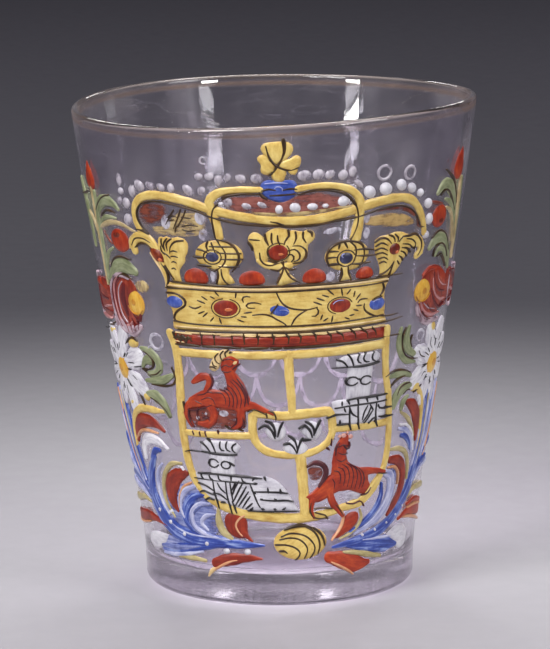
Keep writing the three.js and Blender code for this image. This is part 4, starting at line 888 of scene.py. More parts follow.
lay_down("castle_lines", lines(
    0.6,
    (20, 56, 22, 55.5, 23.9, 54.2), (23.8, 57, 25, 55.9, 25.9, 54.4),
    (27.9, 56.8, 27.2, 55.8, 27.8, 55, 28.6, 54.8), (30.2, 56.9, 29.4, 55.9, 30.2, 55, 31.6, 54.9),
    (33.4, 56.9, 32.7, 56.1, 33.1, 55.2, 34, 54.9), (24.4, 46.6, 28, 46.9, 34, 46.8, 40.6, 46.9),
    (20.2, 45.1, 26, 45.4, 34, 45.4, 40.6, 45.5), (22.5, 46.4, 22.5, 45.6), (24.6, 46.7, 25.3, 45.8),
    (28.4, 46.8, 28.8, 45.4), (31.8, 46.8, 32.4, 45.8), (36, 46.8, 36.6, 45.9),
    (17.4, 43, 20.6, 43.6, 25.2, 43.5), (21.3, 41.3, 25.4, 41.3), (22.1, 42.2, 22.2, 41.4),
    (23.4, 44.9, 24, 44.1), (25.4, 45.2, 25.6, 43, 26, 41, 26.6, 39.9),
    (28.6, 46.6, 28.8, 44, 29.4, 41, 29.9, 39.9), (25.6, 44.8, 26.6, 43.5, 28.8, 42.6),
    (32.5, 44.9, 31.3, 43.5, 30.8, 41.9), (34, 44.7, 33, 43, 31.2, 41.5),
    (34.8, 43.7, 33.2, 42.2, 31.8, 41.1), (33.6, 45, 35, 43.8), (36.2, 45.4, 36.2, 43, 36.8, 41, 37.6, 39.9),
    (33.8, 40.9, 35.2, 41.8, 36.7, 42), (36.9, 44.5, 38.4, 43.9, 43.4, 43.8),
    (37.8, 42.1, 40, 41.8, 44.4, 41.8), (37, 44.8, 37.7, 43.9),
    (-28.7, 37.3, -27, 36.7, -25.4, 35.5, -24.7, 34.9), (-26, 38.2, -24.5, 37.6, -23.6, 36.4, -22.9, 35.1),
    (-20.9, 37.7, -21.2, 36.5, -20.4, 35.8, -19.6, 35.8),
    (-18.4, 37.8, -18.9, 36.7, -18.1, 35.8, -17.4, 35.7),
    (-15.2, 37.5, -16.5, 36.9, -16.5, 36.1, -15.6, 35.5), (-31.2, 30, -24, 30.2, -14, 30, -6.2, 29.7),
    (-21.4, 28.7, -15, 28.6, -8.2, 28.4), (-30, 30, -29.7, 29.2, -28.9, 28.8),
    (-26.6, 29.7, -26, 29, -25.2, 28.9), (-22.9, 29.8, -22.5, 29, -21.7, 28.8), (-17.8, 30, -17.8, 28.9),
    (-13.7, 29.5, -13, 28.8, -12.2, 28.7), (-9.6, 29.2, -8.8, 29.8, -7.9, 29.6), (-5.3, 30, -4.7, 29.3),
    (-31.5, 27.7, -28.4, 27.3, -25, 26.2), (-31.3, 25.6, -29.6, 26, -26, 25.4, -24.4, 25.2),
    (-29.2, 23.9, -27.6, 24.4, -25.5, 24.1), (-25.2, 28.6, -24.9, 26, -24.2, 24, -23.6, 22.3),
    (-20, 28.6, -19.9, 26, -19.4, 24, -18.4, 21.3), (-18.3, 28.5, -18, 26, -17.6, 24.2),
    (-17.9, 24.1, -17, 22.4, -16.5, 21.5), (-23.3, 28.1, -22.4, 27, -20.5, 26),
    (-25.4, 25.7, -23, 25.6, -19.9, 24.4), (-22.6, 23.7, -21, 23.8), (-16, 28.7, -17.7, 26.8),
    (-14.8, 28.9, -16.4, 27.4, -17.9, 25.3), (-13.4, 28.5, -15.4, 26.4, -17.5, 24.1),
    (-12.1, 27.7, -14.4, 25.4, -16.7, 23.3), (-11.4, 26.5, -13.4, 24.8, -15.5, 23.1),
    (-10.8, 25.5, -12.6, 24, -13.9, 22.8), (-10.1, 23.9, -11.4, 23.2, -12.7, 22.6), (-9.9, 22.9, -11.3, 22.1),
    (-10.7, 28.5, -9.8, 27, -9, 25.6, -8, 24, -7.1, 23), (-10, 26.9, -8.6, 26.2),
    (-9.6, 26.6, -5, 26.6, 0, 26.5, 3.5, 26.2), (-6.8, 24.8, -2, 24.6, 3, 24.6, 5.6, 24.3),
    (-4, 27.5, -3.8, 26.4), (0.6, 27.2, 0.9, 26.3), (-6.7, 25, -5.8, 24.7), (-1.5, 25, -0.6, 24.6),
    (-6.6, 22.7, -5.6, 22.6), (-1.8, 22.7, -1, 22.6), (1.5, 22.5, 2.6, 22.9), top=0.7,
) + lines(
    0.75,
    (26, 54.1, 30, 54.1, 34, 54.3, 35.8, 54.5), (-28.2, 35.1, -20, 34.9, -15.2, 34.9), (-9.4, 28.5, -8, 28.5),
    (-6.3, 24.9, -6, 24.8), (-1.1, 24.8, -0.8, 24.8), (-6.3, 22.6, -5.9, 22.6), (-1.5, 22.6, -1.2, 22.6),
    top=0.72,
) + lines(
    0.36,
    (18.4, 54.2, 27, 54.1), (-35.8, 34.7, -33.6, 35, -27, 35), (-33, 28.8, -21, 28.6),
    (-12, 22.1, -4, 22, 7.8, 22), top=0.66,
) + [
    ring(25.8, 50.9, 2.2, 0.95, 0.68, 0.72, 30, 330), ring(31, 50.8, 2.2, 0.95, 0.68, 0.72, 35, 320),
    ring(-24.2, 32.7, 2, 0.95, 0.68, 0.72, 20, 340), ring(-19.4, 32.5, 1.8, 0.85, 0.68, 0.72),
    *lines(0.6, (-17.9, 33.2, -16.3, 32.4), (27.7, 51.3, 29.1, 51.1), top=0.7),
], black)


# Rampant lions
# Red enamel over the yellow frame, brushed limb by limb over a thin ground, with a dark back edge and rows of
# curls for the mane. Each wears a small crown: the upper one in cream, the lower one of pale pink dots.
maroon = enamel("maroon_enamel", (104, 40, 44), (72, 22, 30), (40, 10, 18))
thin_red = enamel("thin_red_enamel", (150, 84, 68), (118, 52, 40), (78, 26, 20), cover=0.82, streak=0.6)
lay_down("lion_upper_paint", [
    brushed((-30.4, 46.4, -26, 47.3, -22, 47.6, -17.6, 47.5, -13.6, 47.6, -11.4, 47.6), 2.4, 3.6, 4.4, 4.4,
            4.6, 3.4, **over),
    brushed((-12.9, 46.6, -13.2, 48.4, -14, 50.6, -15, 52.4, -16, 54, -16.2, 55), 4.4, 4.4, 4, 3.4, 2.6, 2.6,
            **over),
    dab((-18.7, 54.2, -18.4, 56, -16.8, 57.5, -14.6, 57.9, -13, 57.2, -12.4, 56.2, -13.2, 54.8, -14.2, 53.6,
         -16.8, 53.2), **over),
    brushed((-29.3, 51, -27, 52, -24.8, 52.6, -23.1, 52.1), 1, 1.8, 1.9, 1.7, **over),
    brushed((-23.1, 52.4, -23.3, 50.8, -24.6, 49.2, -25.2, 48.2), 1.6, 1.5, 1.3, **over),
    brushed((-11.4, 46.2, -8.4, 46.3, -5.4, 45.5, -3, 44.9, -1.5, 44.3), 2.8, 2, 1.5, 1, 0.6, **over),
    brushed((-12.6, 46.2, -12.8, 43.8, -13.4, 42, -15.8, 41.1), 2.2, 2, 1.9, 1.2, **over),
    brushed((-28, 46.6, -31.4, 45.9, -33.3, 44.4, -33, 42.4, -31.6, 41), 2.6, 2.3, 1.6, 1.5, 1.2, **over),
    brushed((-24.4, 46.4, -22.6, 44.6, -22.8, 42.8, -25.6, 41.5, -28.4, 41.6), 2.6, 2, 1.9, 2, 1, **over),
], red, "lion_upper", slot="red_enamel")
lay_down("lion_upper_ground", [
    dab((-34, 45.6, -28, 46.6, -20, 46.4, -11.4, 46.2, -11, 44, -11.4, 41.2, -20, 40.6, -31, 40.5, -33.6, 42),
        top=0.16, grain=0),
], thin_red)
lay_down("lion_lower_paint", [
    dab((9, 24.9, 12, 26, 14.6, 27.3, 17, 28.9, 19.6, 30, 23, 30.4, 25, 29, 25, 26.4, 22, 25.6, 19.6, 24.9,
         16, 23.9, 13.4, 23.8, 11.4, 24.4), grain=30, **over),
    dab((19.9, 30.4, 20.6, 32.6, 23, 33.4, 26, 32.8, 28.4, 31.8, 31.4, 31, 34.6, 30.4, 36, 29, 36.4, 27.6,
         37.6, 26.2, 36.6, 25, 34.4, 24.6, 31.6, 25.1, 28, 25.9, 24, 25.9, 21, 26.3, 19.6, 28), grain=0,
        **over),
    brushed((23.6, 31.6, 23, 33.4, 23.2, 35.4, 24.4, 37.4, 24.6, 38.2), 4, 3.8, 3.6, 3, 2, **over),
    brushed((31, 29.7, 36, 29.7, 40, 29.4, 44, 28.9), 2.6, 1.8, 1.5, 0.9, **over),
    brushed((19.8, 26, 20.4, 24.6, 21.6, 23.1, 23.4, 21.8, 25.8, 20.3), 2, 1.9, 1.6, 1.1, **over),
    brushed((13.2, 24.6, 12.6, 23, 12.9, 21.4, 13.8, 20.4), 1.6, 1.2, 0.9, **over),
], red, "lion_lower", slot="red_enamel")
lay_down("lion_lower_tail", [
    brushed((10.8, 32.2, 12.8, 32.9, 15.4, 32.8, 17.4, 31.8, 18, 30.4, 17, 28.9, 15.4, 27.5), 0.7, 1.3, 1.4,
            1.3, 0.8, top=0.54, foot=0.1),
    brushed((24, 36.6, 25.4, 35.6, 26.6, 36, 26.4, 37), 0.8, 0.9, 0.6, top=0.58),
    brushed((21.2, 34.4, 21.4, 36, 22.4, 37.2), 0.5, 0.7, 0.4, top=0.58),
], maroon)
lay_down("lion_lower_wash", [
    dab((11.2, 31.8, 13.8, 32.2, 16.2, 31.6, 16.8, 30.2, 15.2, 29, 12.2, 29.2), top=0.12, grain=0),
], thin_red)
lay_down("lion_curls", lines(
    0.48,
    (-21.4, 49, -19, 49, -17.8, 48, -17.7, 46.6),
    (-19.6, 49.9, -17.6, 49.4, -16.4, 48.4, -16.2, 47, -16.7, 46),
    (-17.8, 50.2, -16, 49.5, -15, 48.3, -14.9, 46.8, -15.3, 46),
    (-16.7, 51, -14.8, 49.9, -13.7, 48.4, -13.6, 46.9, -14, 45.8),
    (-15.6, 51.9, -13.6, 50.5, -12.4, 48.8, -12.2, 47, -12.8, 45.8),
    (-27.8, 48.2, -25.4, 48.5, -23.8, 49.1, -21.8, 48.9), (-26.6, 47.1, -24, 47.8, -22.2, 47.4, -21.5, 46.3),
    (-29, 46.8, -26.6, 46.2), (-32.5, 44.6, -30, 44.6, -27, 45.2, -24.4, 45.7, -22.8, 46.2),
    (-31.8, 45, -32.5, 43.4, -31.9, 41.8, -30.8, 40.6), (-28.4, 45.2, -29, 43.8, -28.2, 42.4),
    (-26.8, 43, -25, 43.2, -24, 42.4), (-22.8, 53.2, -21.9, 51.9, -22.4, 50.5, -24, 49.3),
    (-18.3, 54.9, -16.8, 55.5, -15.4, 55, -14.4, 55.6), (-17.7, 56.4, -15.8, 56.9, -14, 56.6),
    (-18, 54, -16.4, 53.8, -15, 54.2), (-12, 55.8, -13.4, 55.2, -14.6, 54.5),
    (-14.2, 43.4, -14.4, 42.2, -16.6, 41.1), (-12, 43.6, -11.9, 42.2, -13, 41),
    (21, 30.8, 22.6, 30.6, 23.6, 29.4, 23.4, 27.8), (22.4, 31.6, 24.4, 31, 25.4, 29.4, 25, 27.2),
    (24, 32.2, 26.2, 31.2, 27.2, 29.4, 26.6, 26.8), (25.6, 32.4, 28, 31.2, 29, 29.2, 28.4, 26.6),
    (27.4, 32, 29.8, 30.8, 30.8, 28.8, 30, 26.2), (29.4, 31.4, 31.6, 30, 32.6, 28, 31.8, 26),
    (31.4, 30.8, 33.4, 29.4, 34, 27.8, 33.2, 26.2), (20.4, 29, 21.4, 28, 21.2, 26.8),
    (22, 35, 24, 34.4, 25.8, 34.6), (22, 36.2, 24, 36.6, 26, 36.2), (21.8, 33.4, 23.6, 32.8, 25.4, 33.4),
    (33.6, 24.4, 36, 24.6, 37.6, 25.8), (-31.6, 39.6, -31.2, 38.8), (-28.8, 39.6, -28.6, 38.7),
    (-26.6, 39.8, -26.2, 38.7), (-21.6, 40.3, -21.4, 39.6), (19.4, 38.2, 19.4, 36.7),
    (17.6, 36.4, 18.8, 35.7), (27, 23, 30, 22.7, 33, 23.1, 34.4, 22.5), (33.8, 22.8, 35.2, 21.8), top=0.58,
) + lines(
    0.62,
    (-14.8, 52.2, -12.8, 51.1, -11.3, 49.4, -10.7, 47.8, -11.2, 46.2),
    (-13.2, 52.4, -11.6, 50.8, -10.3, 48.8, -9.8, 46.6), top=0.58,
), maroon)
lay_down("lion_outlines", lines(
    0.46,
    (-10.2, 44.9, -8, 45.5, -5.6, 44.9, -3.6, 44.2), (-3.2, 45.1, -1.5, 44.8, -0.6, 43.9, -0.6, 43),
    (-3.9, 44.7, -3.6, 43.6), (-34.2, 46.2, -33.7, 44), (-18.6, 41.6, -17, 40.8, -15.4, 40.8),
    (-13.8, 40.8, -12.2, 40.5), (-22.6, 54.8, -21.4, 54.9, -20.3, 54.5), (-21.4, 56, -21, 55.2, -20, 55),
    (-19.2, 58, -20.4, 57.1, -20, 56.1, -19, 55.7), (-17.4, 58.6, -18.5, 57.7, -18.1, 56.6),
    (-15.8, 58.8, -16.9, 58.1, -16.6, 57.3), (-15.4, 58.2, -14.6, 58.4),
    (12.4, 23.8, 12.2, 22, 13.4, 20.6, 15.6, 20.1, 19.4, 20),
    (14.2, 21.5, 16.6, 21.1, 18.4, 20.7, 19.4, 19.8), (13.8, 22.3, 17, 22.5, 21, 22.1),
    (22.2, 23, 24, 21.8, 25.8, 20.3), (40.6, 28.9, 43, 28.6, 45.4, 28.4), top=0.6,
), ink)
lay_down("lion_crowns_and_snout_highlight", [
    dab((-22.8, 54.4, -22, 56, -20.4, 57.6, -17.8, 58.9, -15.2, 58.8, -16.4, 57.4, -18.4, 56, -19.4, 54.6,
         -21, 53.8), top=0.42, foot=0.05),
    # Painted highlight: a small cream drop on the upper lion's snout.
    drop(-13.7, 56, 1, 0.4, 40, top=0.62, foot=0.3),
], cream)
lay_down("lion_crown_dots", drops([
    (24, 38.7, 1.2, 0.6), (26.7, 38.3, 1.1, 0.6), (22.4, 38.6, 0.7, 0.5), (25.4, 39.3, 0.6, 0.4),
], top=0.6, foot=0.2), enamel("pale_pink_enamel", (226, 184, 172), (206, 152, 140), (162, 104, 96)))
lay_down("lion_mists", [
    dab((22.6, 24, 24.4, 25.2, 27, 25.7, 30, 25.6, 33, 24.9, 34, 24, 33.6, 23.4, 30, 23.6, 26, 23.3,
         23.4, 23.3), top=0.3, grain=0),
    drop(-20.5, 50.9, 0.7, 0.9, top=0.4), drop(-18.8, 44.3, 2.4, 1, top=0.2),
    *drops([(-28.8, 42.9, 0.8, 0.6), (-25.4, 44, 0.7, 0.5)], top=0.5, foot=0.1),
    drop(13.6, 28, 1.4, 0.5, top=0.12),
], milk)


# Lilies
# Three small white lilies in the oval, each a fan of petals split by curved black strokes.
lay_down("lily_left_paint", [
    dab((-4.6, 40.6, -3, 41.8, -0.8, 42.5, 0.8, 42.2, 2.8, 41.2, 2.6, 39.4, 1, 38.3, -1, 38.1, -3.2, 39.2)),
], white, "lily_left", slot="white_enamel")
lay_down("lily_right_paint", [
    dab((7.8, 40.6, 9.4, 41.5, 11.5, 42.6, 13.4, 42.2, 15.6, 41.2, 15.2, 39.5, 13.6, 38.3, 11.4, 38.2,
         9.4, 39.3)),
], white, "lily_right", slot="white_enamel")
lay_down("lily_lower_paint", [
    dab((1.8, 36.5, 3.4, 37.8, 5.2, 38.6, 6.8, 38.4, 8.4, 37.9, 10.4, 37, 10.8, 36, 9.6, 35.2, 6.8, 34.9,
         3.6, 35.3), top=0.5, foot=0.1),
], white, "lily_lower", slot="white_enamel")
lay_down("lily_strokes", lines(
    0.66,
    (-6.6, 41, -4.6, 41.8, -2.4, 41, -1, 38.9), (-4.2, 42.8, -2.2, 42.3, -1.1, 41, -0.8, 39.4),
    (1.9, 42.5, 0.7, 41.1, 0, 39.3), (7.5, 41, 9.4, 41.6, 11.4, 40.4, 12.2, 38.9),
    (9.8, 42.5, 11.6, 41.8, 12.8, 40.6, 12.8, 39.4), (15.1, 42.6, 13.8, 41.1, 13.1, 39.8),
    (2, 37.4, 4, 37.7, 5.6, 36.8, 6.7, 35.4), (3.8, 39.4, 5.6, 38.6, 6.7, 37, 6.9, 35.6),
    (8.9, 38.8, 7.6, 37.4, 7, 35.8), (8.2, 38.3, 11.7, 38.3), top=0.62,
), black)


# Shell under the shield
# A yellow oval scallop, its ribs drawn as brown arcs that open towards its hinge on the left.
lay_down("shell_paint", [
    drop(8.6, 14.7, 10.8, 3.95, grain=30, power=5),
], yellow, "pendant_shell", slot="yellow_enamel")
lay_down("shell_ribs", lines(
    0.62,
    (0.9, 16.2, 4, 16.9, 7.6, 16.8, 10.6, 16.2, 13, 15, 14.4, 13.6, 14, 12.2, 12.8, 11.1),
    (0.3, 15.5, 4, 15.9, 7.6, 15.6, 10, 14.6, 11.4, 13.2, 11, 12, 10.3, 11.1),
    (-1.5, 14.3, 2.6, 14.3, 6.4, 13.6, 8.4, 12.4, 7.8, 11.4, 6.7, 10.8), (0, 12.8, 2, 12.9, 3.2, 12.4),
    (10.8, 18.3, 14, 17.1, 16, 15.2, 16.5, 13.6, 15.9, 12), (13.8, 18, 16.6, 16.6, 18.2, 14.9, 18.7, 13.8),
) + lines(0.75, (2.2, 17.8, 6, 18.5, 10, 18.6, 13, 18.1)), ink)


# Stalks and leaves of the two flower sprays
# Grey-green leaves, each one press of a broad brush that swells from a thin tail, with a dark line along its
# upper edge and another inside. The stalks are cream and green strokes drawn up from the carnations.
green = enamel("green_enamel_paste", (168, 172, 138), (136, 142, 106), (92, 100, 66), gloss=0.32, streak=1.4)
lay_down("left_leaves", strokes([
    ((-67, 91, -66.8, 84, -66.4, 77, -66, 71.6), first_coat, 1.2, 1.5, 1.2),
    ((-67.6, 84, -66, 87.2, -62.6, 89.3, -58.6, 89.9, -54.8, 89.3, -53, 88.4), first_coat, 0.9, 2, 3, 3, 2.2,
     1),
    ((-67.4, 80.4, -65.6, 83.8, -62.4, 85.6, -58, 86.2, -55, 86.2), 0.3, 0.9, 1.2, 1.2, 0.6),
    ((-66.8, 70.6, -65.4, 75, -63, 77.7, -59.6, 79), 0.3, 0.9, 1.3, 1.3, 0.7),
    ((-64.6, 71.6, -62, 73.7, -58, 75.2, -53.4, 75.5, -48.8, 74.6), first_coat, 1, 2.4, 3.6, 3.8, 2.2),
    ((-82, 92, -78.4, 88, -75.8, 83.4, -74.6, 78), first_coat, 2.4, 3, 2.4, 1),
    ((-51.8, 52.8, -50.4, 54.2, -48, 54.6), first_coat, 1, 2, 2.6),
    ((-51.6, 57, -47.4, 56.6, -44.2, 55.2, -43.2, 53.4, -45, 51.9, -49, 51.3), first_coat, 1, 2, 2.4, 2, 1.4),
    ((-51, 49.6, -47, 49.9, -42, 50.5, -38, 51.8), first_coat, 1, 1.9, 2.2, 1.2),
    ((-51.6, 46.6, -47.6, 46.4, -44, 45, -41.6, 42.4), first_coat, 1.4, 3, 2.8, 1.4),
]), green, "left_sprig", slot="green_enamel")
lay_down("right_leaves", strokes([
    ((73.6, 91, 74.2, 84, 74.2, 78, 73.6, 74.6), first_coat, 1.4, 1.8, 1.4),
    ((56.4, 89.4, 59.6, 91.1, 63.6, 90.3, 67, 87.8, 69.6, 84, 71, 79), first_coat, 1.2, 2.9, 3, 2.4, 1.8,
     0.8),
    ((61.4, 87.6, 64.6, 86.9, 68, 84.2, 70.4, 79.6), 0.3, 0.8, 1.3, 1.3, 0.6),
    ((54.8, 77.6, 57.8, 79.2, 61.6, 79.3, 65.4, 77.8, 68.4, 75.2, 70, 72), first_coat, 1.2, 2.9, 3.2, 2.8, 2,
     1),
    ((58.6, 75.6, 61, 76.8, 64.4, 76.2, 68, 73), 0.3, 0.8, 1.3, 1.3, 0.6),
    ((44.9, 61, 44.3, 58.6, 45.5, 55.7, 49, 53.5, 54, 52.7), first_coat, 1, 1.6, 1.7, 1.6, 0.8),
    ((48.8, 61, 48, 58.6, 49.6, 56, 53, 54.6, 56, 54.2), first_coat, 1, 2.2, 2.4, 1.8, 0.8),
    ((41.2, 50.4, 44, 50.7, 48, 50.8, 52.6, 49.8), first_coat, 0.9, 1.9, 1.8, 1),
    ((45, 43.4, 46.4, 46, 49.4, 47.2, 53.6, 47.6), first_coat, 1.6, 2.9, 2.9, 1.4),
    ((49.6, 42.6, 50.4, 44.2, 52.6, 45.2), first_coat, 1.4, 1.8, 0.8),
]), green, "right_sprig", slot="green_enamel")
lay_down("leaf_lines", lines(
    0.5,
    (-67, 87, -64.6, 88.7, -62, 90.1, -59.4, 90.9, -57, 91.4), (-63.4, 86.1, -61, 87.3, -58, 87.7, -55, 87.5),
    (-62.4, 74.4, -60, 76.3, -57, 77.3, -54, 77.5, -50.4, 77.2),
    (-59, 72.4, -56.6, 73.3, -53.6, 73.3, -51, 72.8),
    (-50, 56.4, -47.6, 55.8, -45.9, 54.6, -45.9, 53.6, -47.6, 52.6, -52, 52.2),
    (-52, 52.2, -49.6, 51.6, -48, 50.9), (-48, 51.2, -45, 51.6, -42.4, 52.8),
    (-37.5, 53.8, -36.3, 51.5, -37.6, 50, -41, 49.2, -48, 49), (-49.8, 45.8, -46, 45, -43, 43.7, -41, 42),
    (-84, 88.8, -78, 89.6, -72, 90.8), (59.6, 94.2, 62.4, 93.1, 65.6, 91.5, 68, 89.1, 69.8, 86),
    (58, 88.8, 60, 89.7, 62, 89.6, 64.6, 88.3, 66.8, 86.5, 68.8, 84.6),
    (55.6, 79.8, 58, 80.8, 61, 80.9, 64, 79.9, 66, 78.5, 68, 76),
    (57.2, 75.7, 57.8, 77, 59.6, 77.9, 62, 78, 65, 76.9, 67.6, 74.6),
    (60, 75.4, 62, 75.7, 64, 74.9, 67, 72.6), (47, 61, 45.6, 59, 46, 56.6, 48, 54.8, 51, 53.8, 55, 53.4),
    (50.6, 59, 50, 57.7, 51, 56.4), (55.4, 55, 57, 53.8, 60, 53.1), (60, 54.1, 63, 53.1),
    (39.5, 50.8, 42, 51.5, 45.5, 51.7, 49, 51.3, 52, 50.6), (42.2, 48.2, 45, 49.5, 49, 50.1),
    (46, 46, 47, 47.4, 49.4, 48.1, 52.6, 48.2), (49.6, 46, 51, 46.6, 52.8, 46.6), top=0.46,
), ink)
lay_down("cream_stalks", strokes([
    ((-69, 91.8, -68.4, 84, -67.8, 76, -67.4, 70), 0.42, 1, 1.3, 1.3, 0.8),
    ((-68, 82.6, -64, 83.8, -59, 84.9, -53, 85.1, -46.4, 83.9), 0.3, 0.8, 1.3, 1.3, 1, 0.6),
    ((72, 91.4, 72.7, 86, 73, 80, 73.2, 74), 0.42, 1, 1.5, 1.7, 1.2),
    ((62.6, 85.7, 65, 85.2, 67.6, 83.6, 70, 80.6, 71.2, 77.6), 0.42, 0.8, 1.1, 1, 0.6),
    ((-76, 86, -72, 84.4, -69.4, 82), 0.3, 0.8, 1.2, 0.8),
]), enamel("stalk_enamel", (204, 186, 146), (178, 158, 116), (136, 118, 80), streak=1.4))


# Buds
# Red drops at the tips of the stalks and at the first leaves, drawn out to a point by lifting the brush.
for side, part, bud in [
    ("left", "top", dab((-72.8, 93.6, -72.2, 91.9, -69.4, 91.1, -66.6, 91.8, -65.8, 93.8, -66.8, 95.6,
                         -68.4, 97, -69.6, 98, -71.4, 96))),
    ("left", "side", drop(-54.7, 81.2, 5.1, 2.65)),
    ("right", "top", dab((65.6, 93.4, 66.8, 91.8, 69.6, 91, 72.4, 91.6, 73.2, 93.8, 72, 96.4, 71, 98.2,
                          69.4, 97.4, 66.8, 95.8))),
    ("right", "side", drop(59, 84.2, 4.5, 2.5)),
]:
    lay_down(f"{side}_{part}_bud", [bud], red, f"{side}_bud_{part}", slot="red_enamel")
lay_down("bud_lights", [
    *drops([(-55.6, 82.4, 2.4, 0.7, 10), (59.6, 83.2, 2, 0.6, 0)], top=0.42, foot=0.2),
    brushed((-63.6, 82.4, -61.4, 80.8, -59.4, 80), 0.5, 0.8, 0.4, top=0.3),
    brushed((52.6, 88, 56, 87.4, 59.6, 86.9), 0.5, 1, 0.5, top=0.3),
], thin_red)


# Carnations
# A rose ground with curved strokes of crimson, pink, pale blush and scarlet pulled round the yellow eye, wet
# beside wet, so that each petal shows as a bundle of bands.
rose = enamel("rose_enamel_paste", (178, 86, 66), (144, 52, 34), (100, 22, 16), streak=1.5)
crimson = enamel("crimson_enamel", (136, 40, 36), (100, 20, 22), (60, 8, 14), streak=1.4)
pink = enamel("pink_enamel", (214, 166, 164), (186, 126, 126), (146, 82, 86), streak=1.4)
blush = enamel("blush_enamel", (204, 186, 194), (178, 154, 164), (140, 106, 120), cover=0.9, streak=1.4)
lay_down("left_carnation_ground", [
    dab((-64.6, 67.4, -62.6, 70.8, -57, 72.8, -51.6, 72.4, -49, 70, -48.8, 66, -50, 63.4, -53, 61.9,
         -58, 61.8, -62.6, 63.8)),
    dab((-83, 66, -78, 70, -71, 70.8, -67, 69.4, -65.8, 66, -68, 63, -73, 61.9, -80, 62.2), grain=0),
], rose, "left_carnation", slot="rose_enamel")
lay_down("right_carnation_ground", [
    dab((51.2, 67, 53, 71.6, 57, 73.6, 63, 73, 68, 71, 70, 67.4, 68, 63.8, 62, 61.4, 56, 61.8, 52.6, 64)),
    dab((68, 69.4, 73, 71.6, 79, 70.4, 83, 67.4, 80, 63.9, 73, 63, 68.6, 65), grain=0),
], rose, "right_carnation", slot="rose_enamel")
lay_down("carnation_crimson", [
    *strokes([
        ((-55.8, 70.8, -57.4, 67.4, -55.8, 64.4), 0.38, 2, 3.4, 2),
        ((-57.4, 72.5, -60.8, 70.6, -61.8, 67.4, -60.8, 64, -58, 61.8), 0.41, 0.6, 1.1, 1.2, 1.1, 0.6),
        ((-60, 72.4, -63.5, 70, -64.2, 67, -63.2, 63.8, -60.8, 61.2), 0.42, 0.5, 0.9, 1, 0.8, 0.5),
        ((-52.4, 64.6, -50.2, 63.5, -48.8, 64.8), 0.44, 0.6, 1.3, 0.7),
        ((58.4, 68.4, 60, 66.4, 62.6, 64.7, 66.4, 63.5, 70.5, 64), 0.41, 0.6, 1.2, 1.3, 1, 0.6),
        ((59, 71.8, 60.8, 69.4, 64, 67.6, 69.4, 66.8), 0.41, 0.6, 1.1, 1, 0.5),
        ((-85.4, 66.4, -76, 66.2, -69, 66.4), 0.4, 1.2, 1.8, 0.8),
        ((-80, 63.2, -74, 63.5, -68, 63.6), 0.4, 0.7, 1, 0.5),
        ((-80, 70, -85, 68.8, -87.2, 66.4, -85, 64, -80, 62.8), 0.42, 0.6, 1.2, 1.4, 1.2, 0.6),
        ((80, 70.4, 85, 69.3, 87.2, 66.9, 85, 64.6, 80, 63.4), 0.42, 0.6, 1.2, 1.4, 1.2, 0.6),
        ((73, 70.8, 79, 69.2, 84, 66.8), 0.4, 0.8, 1.4, 1),
        ((72, 64.4, 78, 64.6, 84, 63.8), 0.4, 0.8, 1.2, 0.8),
    ]),
    *lines(
        0.45,
        (-58.6, 63.6, -57.4, 61.6, -56.4, 60.2), (-56, 63.6, -55, 61.8, -54.4, 60.4),
        (-53.6, 63.6, -52.8, 62, -52.6, 60.8), (-51.2, 63.2, -50.6, 62.2, -50.6, 61.2),
        (54.6, 63.8, 56.8, 62.4, 60, 61.6), (57, 65.2, 59.6, 63.6, 63, 62.8), top=0.48,
    ),
], crimson)
lay_down("carnation_pink", strokes([
    ((-58.4, 72.9, -62.2, 70.8, -63, 67.2, -62, 63.6, -59.6, 61.2), 0.44, 0.4, 0.6, 0.7, 0.7, 0.4),
    ((-53.8, 62.8, -56, 61.7, -58.2, 61.8), 0.42, 0.5, 0.9, 0.5),
    ((53, 66, 55, 64, 58, 62.9, 62, 62.4, 66.8, 62.4), 0.42, 0.5, 1, 1.1, 0.9, 0.5),
    ((58.8, 70.6, 59.6, 68.8, 61.8, 66.8, 66.4, 65.3, 70.5, 65.1), 0.43, 0.5, 0.9, 1, 0.9, 0.5),
    ((61.2, 72, 63, 70, 66.4, 68.6, 70.4, 68), 0.46, 0.3, 0.5, 0.6, 0.4),
    ((-76, 63.8, -71, 64.6, -67.4, 65), 0.42, 0.7, 1, 0.5),
    ((-83, 61.4, -76, 61.6, -70, 61.8), 0.4, 0.8, 1.4, 0.6),
    ((74, 66.8, 79, 66.4, 84, 65.4), 0.42, 0.6, 1, 0.6),
]), pink)
lay_down("carnation_blush", strokes([
    ((-56.6, 71.7, -59.3, 69.8, -60.1, 67, -59.3, 64.2, -56.8, 62.4), 0.45, 0.4, 0.7, 0.8, 0.7, 0.4),
    ((-61.4, 72.6, -64.8, 70.2, -65.7, 67, -64.8, 63.6, -61.8, 60.9, -58.4, 59.9), 0.4, 0.6, 1, 1, 1.2, 1.3,
     0.7),
    ((-61, 62.2, -57.6, 60.9, -53.6, 60.6, -50, 61.9), 0.4, 1.2, 2.8, 2.9, 1.5),
    ((-62.6, 71.9, -60, 72.8, -56.6, 73.1, -53, 72.6), 0.42, 0.6, 1.3, 1.3, 0.6),
    ((-66, 62.4, -63.6, 60.4, -61, 58.6), 0.3, 0.8, 1.6, 0.8),
    ((-82, 71, -87, 69.4, -89.6, 66.4, -87, 63.2, -82, 61.4), 0.4, 0.8, 1.5, 1.8, 1.5, 0.8),
    ((82, 71.4, 87, 70, 89.6, 67, 87, 63.9, 82, 62.2), 0.4, 0.8, 1.5, 1.8, 1.5, 0.8),
    ((51.2, 66.2, 52.8, 63.6, 55.8, 61.9, 60, 61.1, 66.6, 61), 0.4, 0.7, 1.6, 2, 1.7, 0.8),
    ((54.8, 65.6, 58, 64.2, 62.4, 63.6), 0.46, 0.4, 0.6, 0.4),
    ((73.8, 69.4, 74, 66.6, 73.6, 64), 0.43, 1.1, 1.9, 1.1),
]), blush)
